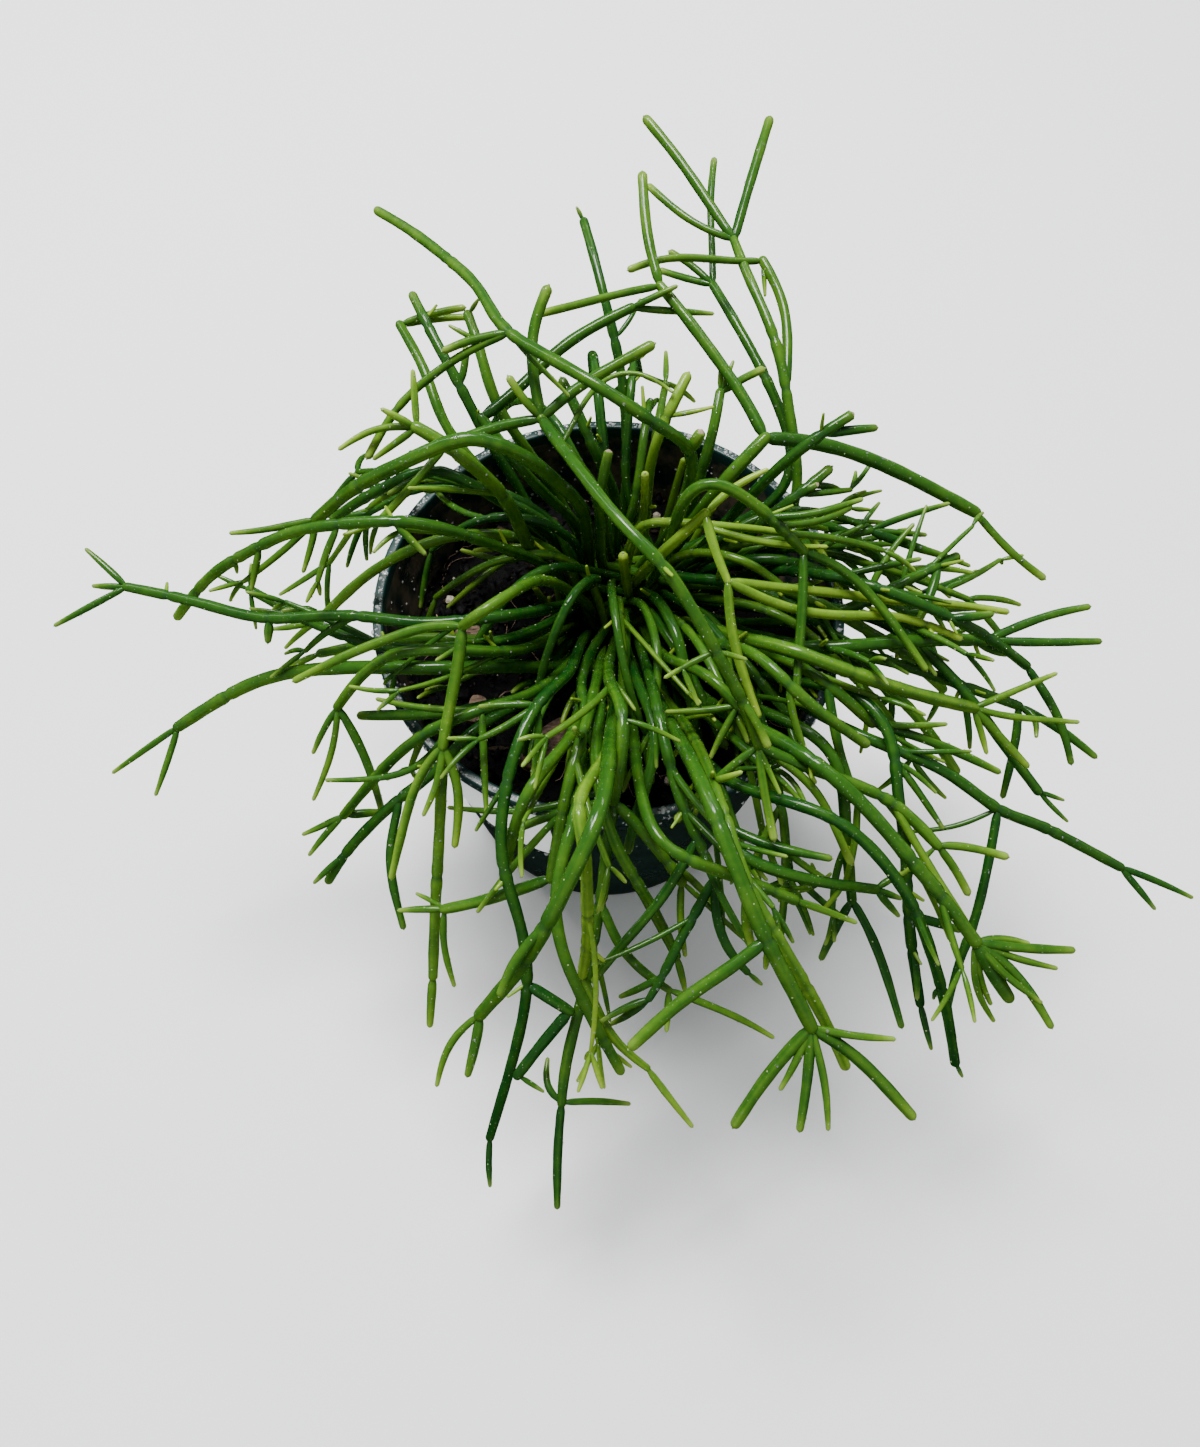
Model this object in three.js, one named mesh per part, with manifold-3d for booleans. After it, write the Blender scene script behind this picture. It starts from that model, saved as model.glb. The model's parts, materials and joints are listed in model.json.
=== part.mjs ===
// A cashero mistletoe cactus in its round nursery pot. Millimetres, +Z up.
// The origin is the centre of the pot's base, and the side nearest the viewer is -Y.
import * as THREE from "three";
import { mergeVertices } from "three/addons/utils/BufferGeometryUtils.js";
import Module from "manifold-3d";

const wasm = await Module();
wasm.setup();

// Driving dimensions of the pot and its filling
const POT = {
  height: 90,
  rimRadius: 52.5,
  lipWidth: 2.3,
  bandHeight: 3,
  wallTopRadius: 51.2,
  baseRadius: 37.5,
  wall: 1.2,
  floor: 2.4,
  facets: 32,
};
const SHOULDER = POT.height - POT.bandHeight;
const DRAIN = { count: 6, radius: 4, ring: 26, facets: 8 };
const LABEL = { edges: [-152, -104.5], heights: [46, 83.5], corner: 4, thickness: 0.3, columns: 10 };
const SOIL = { top: 70, clearance: 0.3, dimple: 0.7, bevel: 1.4, rings: [20, 35] };
const CLEARANCE = 0.3;

// How the stems leave the mix: the depth of their holes, their least spacing around the middle
// of the crown, and how far each root is drawn to the side that its stem leans to
const ROOT = {
  depth: 12,
  spacing: 4,
  crown: [3, 12],
  lean: 0.17,
  rounds: 400,
  push: 0.3,
  upright: 5,
  upkeep: 0.06,
  holeClearance: 0.5,
  facets: 4,
};

// The viewpoint from which the stems were measured: a place in millimetres, two angles, and the
// focal length and the centre of its frame in pixels
const VIEW = {
  place: new THREE.Vector3(-1.6, -146.5, 316.4),
  elevation: THREE.MathUtils.degToRad(62.84),
  roll: THREE.MathUtils.degToRad(0.7),
  focal: 1203,
  centre: [600, 723.5],
};

// Stem radii in millimetres
const THICK = 1.35;
const MAIN = 1.1;
const SLIM = 0.92;
const TWIG = 0.7;
const FINE = 0.52;

// Tones of green, from old stems to new growth
const DARK = 0;
const GREEN = 0.35;
const FRESH = 0.65;
const LIME = 1;

// Every spray: name, radius, tone, arch, points and side branches. An arch is the index of its
// highest point, that height and the height of its end. A point is where the stem passes in
// the view above, in pixels of its frame. A branch is the index of the point that it leaves
// from, -1 for the base of the spray, then its radius, its rise or its own arch, its points and
// its own branches.
const SPRAYS = [
  ["left_long", MAIN, DARK, [1, 112, 100],
    [[540, 612], [492, 618], [450, 622], [410, 624], [370, 616], [320, 615], [268, 620], [190, 600],
      [127, 587]],
    [[8, TWIG, 3, [[107, 567], [87, 550]]],
      [8, TWIG, -2, [[94, 586]]],
      [8, TWIG, -3, [[100, 601], [56, 625]]],
      [6, SLIM, -3, [[268, 640]]]]],
  ["left_low", MAIN, DARK, [1, 104, 94],
    [[530, 640], [460, 650], [400, 652], [345, 638], [310, 622], [250, 590]],
    [[5, FINE, 3, [[247, 577], [251, 565]]],
      [5, FINE, -4, [[254, 610], [256, 628]]],
      [5, FINE, 2, [[230, 583], [214, 574]]],
      [4, TWIG, 2, [[330, 606], [300, 607], [284, 611]]]]],
  ["left_arch", MAIN, GREEN, [3, 128, 90],
    [[560, 575], [490, 544], [420, 522], [392, 520], [340, 524], [310, 527], [280, 535], [258, 547],
      [235, 559], [214, 572], [195, 592], [178, 616]],
    [[3, TWIG, -5, [[408, 538], [424, 553]]],
      [4, TWIG, -8, [[323, 555], [318, 580]],
        [[1, FINE, -3, [[307, 601]]], [1, FINE, -3, [[320, 594]]]]],
      [7, TWIG, -7, [[254, 572], [252, 588]]],
      [8, FINE, -3, [[237, 572]]]]],
  ["upper_left_thick", THICK, GREEN, [4, 138, 114],
    [[588, 512], [560, 484], [530, 458], [496, 442], [470, 431], [430, 448], [390, 465], [350, 486],
      [316, 517]],
    [[8, TWIG, -4, [[300, 519], [272, 529], [231, 532]]],
      [8, TWIG, -7, [[312, 545], [303, 569]]]]],
  ["upper_left_pair", MAIN, DARK, [3, 124, 104],
    [[560, 545], [515, 510], [474, 486], [434, 464], [400, 480], [370, 494], [334, 518]],
    [[3, TWIG, -2, [[410, 480], [390, 493]]],
      [-1, MAIN, [3, 128, 128], [[580, 528], [540, 490], [510, 455], [482, 418]],
        [[3, MAIN, 8, [[512, 397], [530, 377], [556, 351], [580, 333], [631, 308]],
          [[4, TWIG, 3, [[657, 296], [675, 288]]],
            [4, TWIG, -2, [[665, 309], [713, 312]]]]]]]]],
  ["upper_left_light", THICK, FRESH, [6, 138, 138],
    [[560, 584], [530, 548], [510, 504], [490, 480], [460, 455], [440, 440], [417, 428]],
    [[6, TWIG, 5, [[415, 400], [413, 372]]],
      [6, TWIG, 3, [[400, 415], [383, 410]]],
      [6, TWIG, -5, [[380, 425], [354, 434], [340, 449]]],
      [6, TWIG, -6, [[410, 436], [386, 452], [376, 462]]],
      [1, TWIG, -2, [[500, 547], [476, 551]]],
      [1, TWIG, -9, [[494, 568], [464, 594], [449, 607]]],
      [1, TWIG, -5, [[523, 568], [486, 556], [463, 551]]]]],
  ["far_left_long", MAIN, GREEN, [4, 149, 126],
    [[665, 545], [688, 490], [695, 450], [658, 426], [600, 386], [560, 364], [530, 346], [505, 333],
      [478, 286], [444, 256], [410, 230], [378, 211]],
    [[2, MAIN, 4, [[701, 433]]],
      [7, TWIG, -16, [[460, 354], [440, 370], [400, 400], [369, 455]]],
      [7, TWIG, -3, [[470, 336], [446, 350]]],
      [7, FINE, -6, [[530, 362], [556, 377], [568, 395]]]]],
  ["far_left_upright", MAIN, DARK, [7, 122, 122],
    [[570, 560], [540, 526], [512, 476], [488, 441], [478, 422], [460, 385], [440, 350], [413, 296]],
    [[5, TWIG, 4, [[470, 365], [466, 350]]]]],
  ["far_left_fork", MAIN, GREEN, [5, 130, 130],
    [[560, 500], [520, 440], [492, 400], [487, 380], [478, 340], [468, 315]],
    [[5, FINE, 3, [[478, 300]]],
      [4, FINE, 1, [[465, 335], [450, 326]]],
      [-1, MAIN, [4, 116, 116], [[530, 530], [480, 470], [440, 420], [430, 380], [400, 325]],
        [[4, TWIG, 3, [[425, 314], [462, 308]]],
          [4, TWIG, -1, [[430, 318], [466, 317]]]]]]],
  ["far_middle_whorl", MAIN, GREEN, [5, 134, 134],
    [[596, 556], [597, 520], [594, 488], [580, 468], [562, 446], [540, 418]],
    [[5, SLIM, 12, [[534, 390], [530, 350], [534, 310], [546, 291]]],
      [5, SLIM, 8, [[570, 390], [600, 372], [620, 362], [649, 346]]],
      [5, SLIM, -8, [[500, 424], [460, 440], [420, 454], [389, 469]]],
      [5, TWIG, 6, [[512, 398], [509, 379]]],
      [4, FINE, 2, [[590, 390], [620, 369], [650, 372], [672, 393]]],
      [5, MAIN, [3, 141, 111],
        [[560, 446], [582, 473], [600, 498], [620, 521], [640, 545], [667, 563], [684, 596], [702, 626],
          [716, 650], [736, 690], [748, 708], [758, 746]],
        [[8, FINE, -1, [[732, 655], [745, 659]]],
          [8, FINE, -3, [[700, 655], [680, 668], [666, 677]], [[1, FINE, -3, [[690, 685], [698, 704]]]]],
          [11, TWIG, -10, [[728, 768], [700, 792], [678, 818]]],
          [11, MAIN, -14, [[800, 757], [840, 772], [896, 796], [938, 841]],
            [[3, TWIG, -2, [[960, 840], [1004, 853]]],
              [3, TWIG, -7, [[955, 860], [967, 888]]],
              [3, FINE, -5, [[920, 860], [900, 872]]]]],
          [11, TWIG, -14, [[790, 765], [810, 783], [826, 799], [835, 830], [850, 860]]],
          [11, TWIG, -8, [[764, 790], [774, 836]]],
          [11, FINE, -3, [[768, 770], [780, 793]]]]]]],
  ["far_tall", SLIM, DARK, [6, 126, 126],
    [[625, 503], [626, 420], [622, 375], [615, 340], [605, 300], [595, 260], [584, 222]],
    [[6, FINE, 2, [[577, 208]]],
      [3, FINE, 3, [[632, 322], [640, 300]]]]],
  ["far_middle_short", MAIN, DARK, [3, 124, 124],
    [[616, 492], [600, 464], [580, 416], [563, 382]],
    [[-1, MAIN, [2, 118, 118], [[604, 530], [600, 485], [608, 453]], []]]],
  ["far_right_long", MAIN, GREEN, [9, 128, 128],
    [[700, 572], [760, 545], [795, 515], [800, 485], [792, 430], [786, 388], [776, 340], [760, 302],
      [745, 270], [734, 240]],
    [[9, SLIM, 8, [[710, 205], [680, 160], [647, 120]]],
      [9, SLIM, 8, [[745, 200], [757, 160], [769, 121]]],
      [9, TWIG, 2, [[710, 232], [680, 215], [650, 187]]],
      [5, SLIM, 8, [[788, 325], [780, 288], [763, 261]],
        [[2, TWIG, 4, [[730, 262], [700, 257], [655, 257], [631, 269]]],
          [2, FINE, -3, [[765, 295]]]]]]],
  ["far_right_second", MAIN, DARK, [7, 118, 118],
    [[680, 555], [735, 525], [780, 500], [795, 470], [780, 410], [766, 378], [740, 330], [713, 285]],
    [[7, TWIG, 8, [[712, 240], [710, 200], [714, 161]]],
      [7, TWIG, -2, [[690, 280], [662, 271]]],
      [7, TWIG, 2, [[690, 262], [672, 253]]]]],
  ["far_right_fork", THICK, GREEN, [3, 128, 128],
    [[680, 540], [715, 492], [740, 464], [765, 438]],
    [[3, MAIN, 8, [[744, 398], [715, 360], [680, 315], [658, 290]],
      [[3, SLIM, 8, [[645, 245], [643, 215], [641, 180]]],
        [3, TWIG, 1, [[620, 296], [590, 304], [540, 316]]]]],
      [3, THICK, -20, [[800, 440], [840, 448], [900, 472], [975, 512]],
        [[3, TWIG, -8, [[1000, 542], [1020, 562], [1042, 577]]]]]]],
  ["far_right_upright", MAIN, GREEN, [4, 128, 128],
    [[676, 550], [690, 510], [702, 470], [714, 430], [720, 393]],
    [[4, FINE, 3, [[718, 375], [721, 362]]],
      [4, FINE, 3, [[729, 378], [733, 362]]],
      [4, TWIG, 1, [[740, 378], [761, 370]]]]],
  ["far_light", SLIM, LIME, [4, 134, 134],
    [[644, 536], [648, 480], [652, 450], [666, 416], [686, 376]],
    [[3, FINE, 1, [[690, 412], [712, 406]]],
      [0, TWIG, [0, 128, 128], [[645, 475]]],
      [-1, SLIM, [1, 104, 104], [[630, 596], [626, 550]]]]],
  ["right_light", SLIM, LIME, [1, 122, 114],
    [[642, 523], [665, 522], [700, 528], [745, 528], [790, 537], [808, 537]],
    [[-1, MAIN, [1, 127, 127], [[670, 540], [704, 508]],
      [[1, TWIG, 5, [[722, 487], [745, 471], [764, 465]]],
        [1, SLIM, -5, [[712, 545], [726, 575]],
          [[1, SLIM, -15, [[726, 610], [732, 640], [740, 670], [754, 712]]],
            [1, SLIM, -18, [[756, 592], [780, 604], [832, 616], [900, 615], [940, 630], [958, 638]]],
            [1, SLIM, -22, [[796, 586], [840, 590], [880, 598], [940, 601], [1007, 611]]]]]]]]],
  ["right_arch", MAIN, GREEN, [2, 136, 122],
    [[670, 545], [690, 490], [705, 475], [740, 494], [770, 516], [804, 552]],
    [[5, SLIM, -15, [[830, 560], [860, 582], [880, 604], [900, 632], [925, 668]]],
      [5, SLIM, -14, [[802, 600], [799, 640], [796, 698]]],
      [4, TWIG, 2, [[800, 520], [830, 510], [861, 500]]]]],
  ["right_cut", MAIN, DARK, [5, 138, 138],
    [[690, 560], [728, 520], [756, 490], [784, 462], [820, 434], [851, 415]],
    [[4, SLIM, -2, [[850, 430], [874, 428]]],
      [-1, MAIN, [3, 118, 118], [[720, 560], [774, 512], [800, 494], [828, 470]],
        [[2, SLIM, 1, [[816, 485]]]]]]],
  ["right_back", MAIN, DARK, [5, 112, 112],
    [[690, 590], [730, 568], [760, 554], [810, 548], [840, 536], [869, 532]],
    [[5, TWIG, 2, [[900, 518], [948, 504]]],
      [5, TWIG, -2, [[900, 534], [925, 536]]],
      [5, SLIM, -4, [[900, 543], [920, 550], [940, 556]]],
      [2, TWIG, 3, [[790, 530], [820, 522], [882, 523]]]]],
  ["right_middle", THICK, DARK, [2, 108, 100],
    [[700, 640], [780, 645], [850, 645], [920, 638], [988, 639]],
    [[4, SLIM, 2, [[1020, 625], [1060, 610], [1089, 606]]],
      [4, SLIM, -2, [[1040, 642], [1100, 641]]],
      [-1, MAIN, [5, 110, 106],
        [[740, 628], [810, 620], [865, 605], [900, 585], [925, 570], [943, 564], [955, 557]],
        [[5, SLIM, -5, [[935, 585], [927, 600], [918, 620]]],
          [3, FINE, 5, [[912, 545], [925, 508]]],
          [2, TWIG, 6, [[880, 565], [897, 542], [912, 526]]]]]]],
  ["right_long", MAIN, DARK, [2, 114, 94],
    [[740, 572], [820, 572], [880, 588], [925, 605], [950, 618], [990, 637], [1025, 664]],
    [[6, SLIM, -12, [[1050, 700], [1062, 722], [1070, 760]]],
      [4, SLIM, 1, [[965, 622], [989, 614]]]]],
  ["right_whorl", THICK, FRESH, [1, 114, 96],
    [[740, 640], [790, 650], [820, 662], [860, 676], [900, 690], [973, 708]],
    [[5, TWIG, 2, [[990, 703], [1020, 688], [1055, 674]]],
      [5, TWIG, -3, [[985, 714], [1030, 719], [1077, 722]]],
      [5, TWIG, -5, [[985, 725], [981, 738], [986, 752]]],
      [5, SLIM, -8, [[990, 725], [1010, 750], [1026, 765]]]]],
  ["right_drooping", MAIN, DARK, [1, 102, 80],
    [[760, 610], [840, 610], [900, 630], [935, 660], [978, 708], [1000, 740], [1038, 791]],
    [[6, FINE, -1, [[1063, 800]]],
      [6, FINE, -5, [[1048, 808], [1067, 821]]],
      [-1, MAIN, [1, 98, 84], [[760, 640], [840, 652], [900, 665], [960, 685], [1018, 706]],
        [[4, TWIG, 1, [[1030, 703], [1042, 708], [1045, 722], [1036, 736]]],
          [4, SLIM, -7, [[1045, 720], [1065, 732], [1094, 756]]],
          [4, SLIM, -12, [[1017, 740], [1010, 765], [1003, 795]]]]]]],
  ["right_low_long", MAIN, DARK, [2, 102, 74],
    [[740, 670], [800, 700], [860, 735], [915, 755], [965, 782], [998, 813], [1030, 820], [1060, 835],
      [1120, 867]],
    [[5, FINE, -6, [[980, 817], [965, 828], [925, 830], [905, 832]]],
      [5, SLIM, -22, [[993, 840], [985, 880], [975, 925], [957, 965], [948, 1008]]],
      [8, TWIG, -4, [[1150, 877], [1191, 897]]],
      [8, TWIG, -5, [[1140, 890], [1154, 908]]]]],
  ["right_front_short", MAIN, GREEN, [1, 118, 106],
    [[700, 640], [764, 660], [788, 688], [820, 714], [864, 744]],
    [[2, TWIG, -9, [[782, 706], [792, 740], [800, 762]]]]],
  ["right_cluster", MAIN, GREEN, [1, 110, 102],
    [[760, 650], [830, 680], [876, 718]],
    [[2, SLIM, -8, [[930, 735], [960, 748], [1000, 768]]],
      [2, TWIG, 0, [[905, 722], [949, 719]]],
      [2, FINE, -4, [[925, 748], [947, 757]]],
      [1, SLIM, -13, [[838, 738], [848, 774], [858, 798]]],
      [-1, MAIN, [1, 96, 82], [[780, 640], [850, 660], [905, 700], [925, 725], [956, 770]], []]]],
  ["front_right_small", MAIN, GREEN, [2, 110, 107],
    [[665, 660], [700, 670], [720, 683], [738, 706]],
    [[3, TWIG, -3, [[700, 712], [668, 712]]],
      [3, TWIG, -5, [[720, 735], [710, 756]]],
      [3, TWIG, -1, [[755, 722], [764, 730]]]]],
  ["front_right_big", THICK, GREEN, [2, 109, 90],
    [[700, 700], [760, 735], [810, 765], [860, 805], [900, 850], [940, 895], [975, 942]],
    [[6, TWIG, -2, [[1010, 933], [1027, 943]]],
      [6, SLIM, -4, [[1010, 948], [1071, 950]]],
      [6, TWIG, -6, [[1010, 958], [1055, 968]]],
      [6, SLIM, -10, [[1010, 965], [1030, 990], [1050, 1025]]],
      [6, TWIG, -7, [[1000, 973], [1040, 1002]]],
      [6, THICK, -10, [[990, 970], [1008, 997]]],
      [6, TWIG, -12, [[977, 980], [990, 1003]]],
      [6, TWIG, -15, [[972, 985], [982, 1003], [993, 1020]]]]],
  ["front_right_reaching", MAIN, DARK, [3, 108, 60],
    [[690, 750], [740, 790], [786, 802], [820, 812], [856, 832], [890, 870], [916, 910], [935, 965],
      [945, 1000], [955, 1062]],
    [[9, FINE, -2, [[962, 1076]]],
      [6, FINE, -3, [[925, 940], [938, 964]]]]],
  ["front_right_hanging", MAIN, DARK, [2, 106, 56],
    [[770, 680], [830, 688], [875, 712], [896, 762], [894, 792], [903, 830], [908, 915], [912, 950],
      [920, 1003]],
    [[8, TWIG, -7, [[925, 1025], [931, 1048]]],
      [6, SLIM, -3, [[935, 922], [958, 930]]],
      [3, TWIG, -8, [[921, 800], [941, 830]]],
      [3, FINE, -3, [[916, 774], [934, 795]]],
      [-1, MAIN, [1, 106, 76], [[740, 700], [810, 730], [840, 760], [845, 820], [852, 900]],
        [[4, SLIM, -7, [[835, 925], [822, 957]]],
          [4, SLIM, -14, [[870, 930], [885, 970], [901, 1025]]]]]]],
  ["front_burst", THICK, GREEN, [2, 122, 98],
    [[660, 720], [690, 768], [706, 800], [718, 830], [735, 870], [765, 940], [785, 975], [811, 1027]],
    [[7, MAIN, -14, [[788, 1050], [765, 1078], [736, 1123]]],
      [7, TWIG, -8, [[798, 1062], [781, 1088]]],
      [7, SLIM, -12, [[808, 1080], [800, 1128]]],
      [7, TWIG, -10, [[822, 1068], [830, 1090], [828, 1128]]],
      [7, TWIG, -3, [[840, 1036], [893, 1039]]],
      [7, MAIN, -14, [[850, 1050], [880, 1080], [911, 1115]]],
      [5, MAIN, -12, [[735, 968], [700, 985], [665, 1015], [633, 1045]]]]],
  ["front_right_light", MAIN, FRESH, [3, 114, 82],
    [[680, 715], [705, 757], [720, 800], [733, 838], [748, 890], [780, 940], [805, 985], [820, 1010],
      [845, 1065]],
    [[4, SLIM, -9, [[740, 925], [752, 945]]]]],
  ["front_middle_dark", MAIN, DARK, [1, 110, 96],
    [[644, 666], [658, 710], [670, 756], [680, 796], [700, 840], [716, 878]],
    [[5, SLIM, -16, [[708, 896], [680, 940], [665, 975], [650, 998]],
      [[3, TWIG, -3, [[635, 996], [620, 1005], [603, 1020]]],
        [3, TWIG, -5, [[635, 1015], [610, 1027]]]]],
      [5, SLIM, -12, [[719, 942], [732, 958], [748, 972]],
        [[2, FINE, -2, [[762, 984]]]]],
      [4, SLIM, -16, [[656, 910], [620, 946], [595, 980]]]]],
  ["front_right_cut", MAIN, DARK, [2, 100, 88],
    [[690, 760], [715, 815], [740, 858], [770, 868], [810, 880], [875, 889]],
    [[1, SLIM, 2, [[742, 836], [790, 850], [829, 857]]],
      [5, TWIG, 1, [[900, 873]]],
      [5, TWIG, -2, [[900, 898]]],
      [5, TWIG, -4, [[898, 915]]]]],
  ["front_right_down", SLIM, GREEN, [1, 104, 68],
    [[710, 720], [760, 760], [784, 805], [786, 850], [784, 900], [780, 942]],
    [[2, TWIG, -7, [[764, 836], [752, 864]]],
      [1, FINE, -1, [[790, 765], [809, 812]]]]],
  ["front_middle_fork", MAIN, GREEN, [1, 118, 104],
    [[607, 680], [621, 712], [620, 745], [616, 775], [610, 801]],
    [[1, FINE, -3, [[650, 726], [676, 741]]],
      [4, SLIM, -7, [[570, 807], [530, 822], [498, 836]]],
      [4, MAIN, -46, [[603, 850], [600, 900], [590, 945], [584, 990], [575, 1020], [562, 1080], [561, 1103]],
        [[6, TWIG, -3, [[590, 1100], [628, 1104]]],
          [6, TWIG, 0, [[545, 1099], [536, 1093], [547, 1060]]],
          [6, SLIM, -16, [[557, 1150], [557, 1206]]],
          [1, SLIM, -10, [[620, 955], [645, 975], [668, 990]],
            [[2, TWIG, -8, [[690, 998], [720, 1010], [750, 1022], [772, 1037]]],
              [2, TWIG, -4, [[668, 1015], [666, 1030]]]]]]],
      [4, MAIN, -10, [[640, 830], [664, 860], [679, 881]],
        [[2, FINE, -8, [[716, 914], [752, 948]]],
          [2, TWIG, -10, [[676, 920], [683, 954]]]]]]],
  ["front_crown_dark", MAIN, DARK, [1, 100, 94],
    [[580, 680], [588, 720], [596, 760], [604, 792]],
    [[3, TWIG, -5, [[540, 810], [490, 810], [450, 806]]],
      [-1, MAIN, [1, 104, 94], [[640, 680], [660, 720], [660, 754], [648, 780], [638, 806], [628, 848]], []]]],
  ["front_crown_long", MAIN, GREEN, [2, 108, 78],
    [[598, 660], [602, 700], [602, 772], [616, 842], [640, 882], [660, 920], [677, 955]],
    [[6, TWIG, -6, [[684, 975], [686, 992]]],
      [-1, MAIN, [2, 106, 94], [[640, 770], [650, 820], [666, 852], [700, 864], [740, 878], [795, 900]],
        [[5, TWIG, -4, [[825, 910], [855, 922]]]]]]],
  ["front_left_fork", MAIN, GREEN, [1, 108, 92],
    [[592, 710], [586, 746], [574, 790], [566, 830], [556, 881]],
    [[4, MAIN, -10, [[510, 896], [480, 904], [447, 910]],
      [[2, TWIG, -1, [[420, 908], [402, 911]]],
        [2, TWIG, -12, [[442, 938], [455, 985]]]]]]],
  ["front_middle_light", MAIN, LIME, [1, 125, 82],
    [[600, 740], [574, 810], [584, 840], [587, 896], [588, 940], [583, 975]],
    [[5, SLIM, -12, [[610, 1035], [648, 1066]],
      [[1, TWIG, -7, [[665, 1090], [692, 1124]]]]]]],
  ["front_left_big", THICK, GREEN, [1, 124, 90],
    [[604, 740], [598, 812], [575, 866], [545, 925], [525, 962], [505, 985], [480, 1014]],
    [[6, TWIG, -10, [[455, 1028], [444, 1045], [437, 1084]]],
      [6, SLIM, -8, [[478, 1040], [468, 1073]]],
      [3, SLIM, -9, [[515, 955], [500, 992]]]]],
  ["front_low_big", MAIN, GREEN, [1, 106, 72],
    [[590, 700], [580, 790], [556, 870], [552, 915], [560, 950], [590, 1015], [620, 1070]],
    []],
  ["front_left_hanging", MAIN, DARK, [1, 110, 42],
    [[570, 680], [540, 702], [520, 740], [508, 780], [500, 830], [500, 865], [512, 895], [524, 935],
      [528, 985], [518, 1040], [498, 1110], [490, 1137]],
    [[11, TWIG, -7, [[487, 1165], [490, 1185]]],
      [1, TWIG, -2, [[510, 705], [482, 708]]],
      [1, TWIG, -8, [[543, 725], [536, 760], [534, 778]]],
      [8, MAIN, -3, [[557, 1003], [570, 1011]],
        [[1, MAIN, -12, [[535, 1052], [518, 1075]],
          [[1, FINE, -1, [[528, 1089], [543, 1091]]]]]]]]],
  ["left_whorl", MAIN, FRESH, [2, 126, 119],
    [[540, 578], [510, 593], [480, 612], [462, 626]],
    [[3, SLIM, -12, [[426, 624], [400, 635], [362, 648], [340, 658], [296, 680]]],
      [3, MAIN, -15, [[458, 670], [448, 710], [443, 746]],
        [[2, MAIN, -40, [[440, 820], [438, 860], [435, 910], [433, 976]],
          [[3, SLIM, -9, [[431, 1000], [430, 1024]]]]],
          [2, SLIM, -20, [[424, 764], [410, 800], [392, 876]]],
          [2, SLIM, -14, [[458, 776], [461, 800], [455, 844]]],
          [2, TWIG, -8, [[440, 785], [424, 814]]]]]]],
  ["left_down", THICK, GREEN, [2, 104, 76],
    [[570, 660], [510, 665], [444, 668], [400, 668], [340, 668], [300, 671], [255, 681], [205, 709],
      [178, 727]],
    [[8, TWIG, -6, [[160, 739], [114, 772]]],
      [8, TWIG, -7, [[171, 752], [156, 794]]]]],
  ["left_front_fork", MAIN, GREEN, [1, 112, 92],
    [[510, 650], [450, 648], [388, 652], [372, 664], [356, 680], [339, 705]],
    [[5, TWIG, -12, [[337, 740], [328, 770], [315, 797]]],
      [5, SLIM, -14, [[360, 740], [372, 770], [382, 808]]],
      [5, TWIG, -7, [[325, 715], [318, 730], [315, 750]]],
      [-1, MAIN, [1, 98, 88], [[540, 640], [480, 640], [430, 636], [360, 645], [321, 653]],
        [[4, TWIG, -2, [[292, 662], [280, 672]]]]]]],
  ["left_front_long", MAIN, GREEN, [1, 106, 74],
    [[530, 695], [482, 709], [460, 716], [432, 728], [406, 746], [380, 772], [356, 800], [344, 815]],
    [[7, TWIG, -4, [[330, 825], [304, 834]]],
      [7, TWIG, -6, [[318, 840], [310, 854]]],
      [7, SLIM, -1, [[378, 812]]],
      [1, TWIG, -10, [[482, 735], [486, 813]]],
      [-1, MAIN, [2, 110, 88], [[582, 730], [560, 754], [537, 779], [524, 800], [512, 840], [507, 866]],
        []]]],
  ["left_front_low", MAIN, DARK, [1, 98, 60],
    [[530, 705], [480, 724], [460, 746], [438, 772], [400, 798], [370, 826], [344, 854], [329, 880]],
    [[6, TWIG, -5, [[332, 862], [315, 882]]],
      [4, SLIM, -16, [[388, 860], [396, 900], [403, 926]]],
      [-1, MAIN, [2, 98, 90], [[540, 690], [500, 700], [460, 711], [410, 714], [362, 715]],
        [[2, TWIG, -10, [[420, 770], [360, 780], [328, 780]]]]]]],
];

// Bark chips: name, place on the mix, size, turn in degrees
const CHIPS = [
  ["bark_chip_large", [-13, -27.5], [15, 8, 5], 38],
  ["bark_chip_red", [-33, 2], [6, 4.5, 3.5], 20],
  ["bark_chip_back", [30, 27], [8, 5, 3], -35],
  ["bark_chip_side", [-30, -18], [7, 4, 3], 80],
];
const PERLITE = [
  ["perlite_grain_left", [-38, 12], 2.2],
  ["perlite_grain_back", [12, 38], 1.9],
  ["perlite_grain_front", [14, -35], 2],
];

const SEEDS = { dimples: 7, chips: 11, grains: 31 };

// A repeatable source of chance, so that every run makes the same part
function makeRandom(seed) {
  let state = seed;
  return () => {
    state = (state * 16807) % 2147483647;
    return state / 2147483647;
  };
}

function tone(dark, light, share) {
  return new THREE.Color(dark).lerp(new THREE.Color(light), share);
}

function meshOf(name, geometry, color, roughness) {
  const material = new THREE.MeshStandardMaterial({ color, roughness, metalness: 0 });
  const mesh = new THREE.Mesh(geometry, material);
  mesh.name = name;
  return mesh;
}

// A closed geometry as a solid that can be joined and cut
function solidOf(geometry) {
  const bare = geometry.clone();
  bare.deleteAttribute("normal");
  bare.deleteAttribute("uv");
  const merged = mergeVertices(bare, 1e-4);
  return new wasm.Manifold(
    new wasm.Mesh({
      numProp: 3,
      vertProperties: merged.attributes.position.array,
      triVerts: new Uint32Array(merged.index.array),
    }),
  );
}

function geometryOf(solid) {
  const mesh = solid.getMesh();
  const geometry = new THREE.BufferGeometry();
  geometry.setAttribute("position", new THREE.BufferAttribute(mesh.vertProperties, 3));
  geometry.setIndex(new THREE.BufferAttribute(mesh.triVerts, 1));
  geometry.computeVertexNormals();
  return geometry;
}

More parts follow.
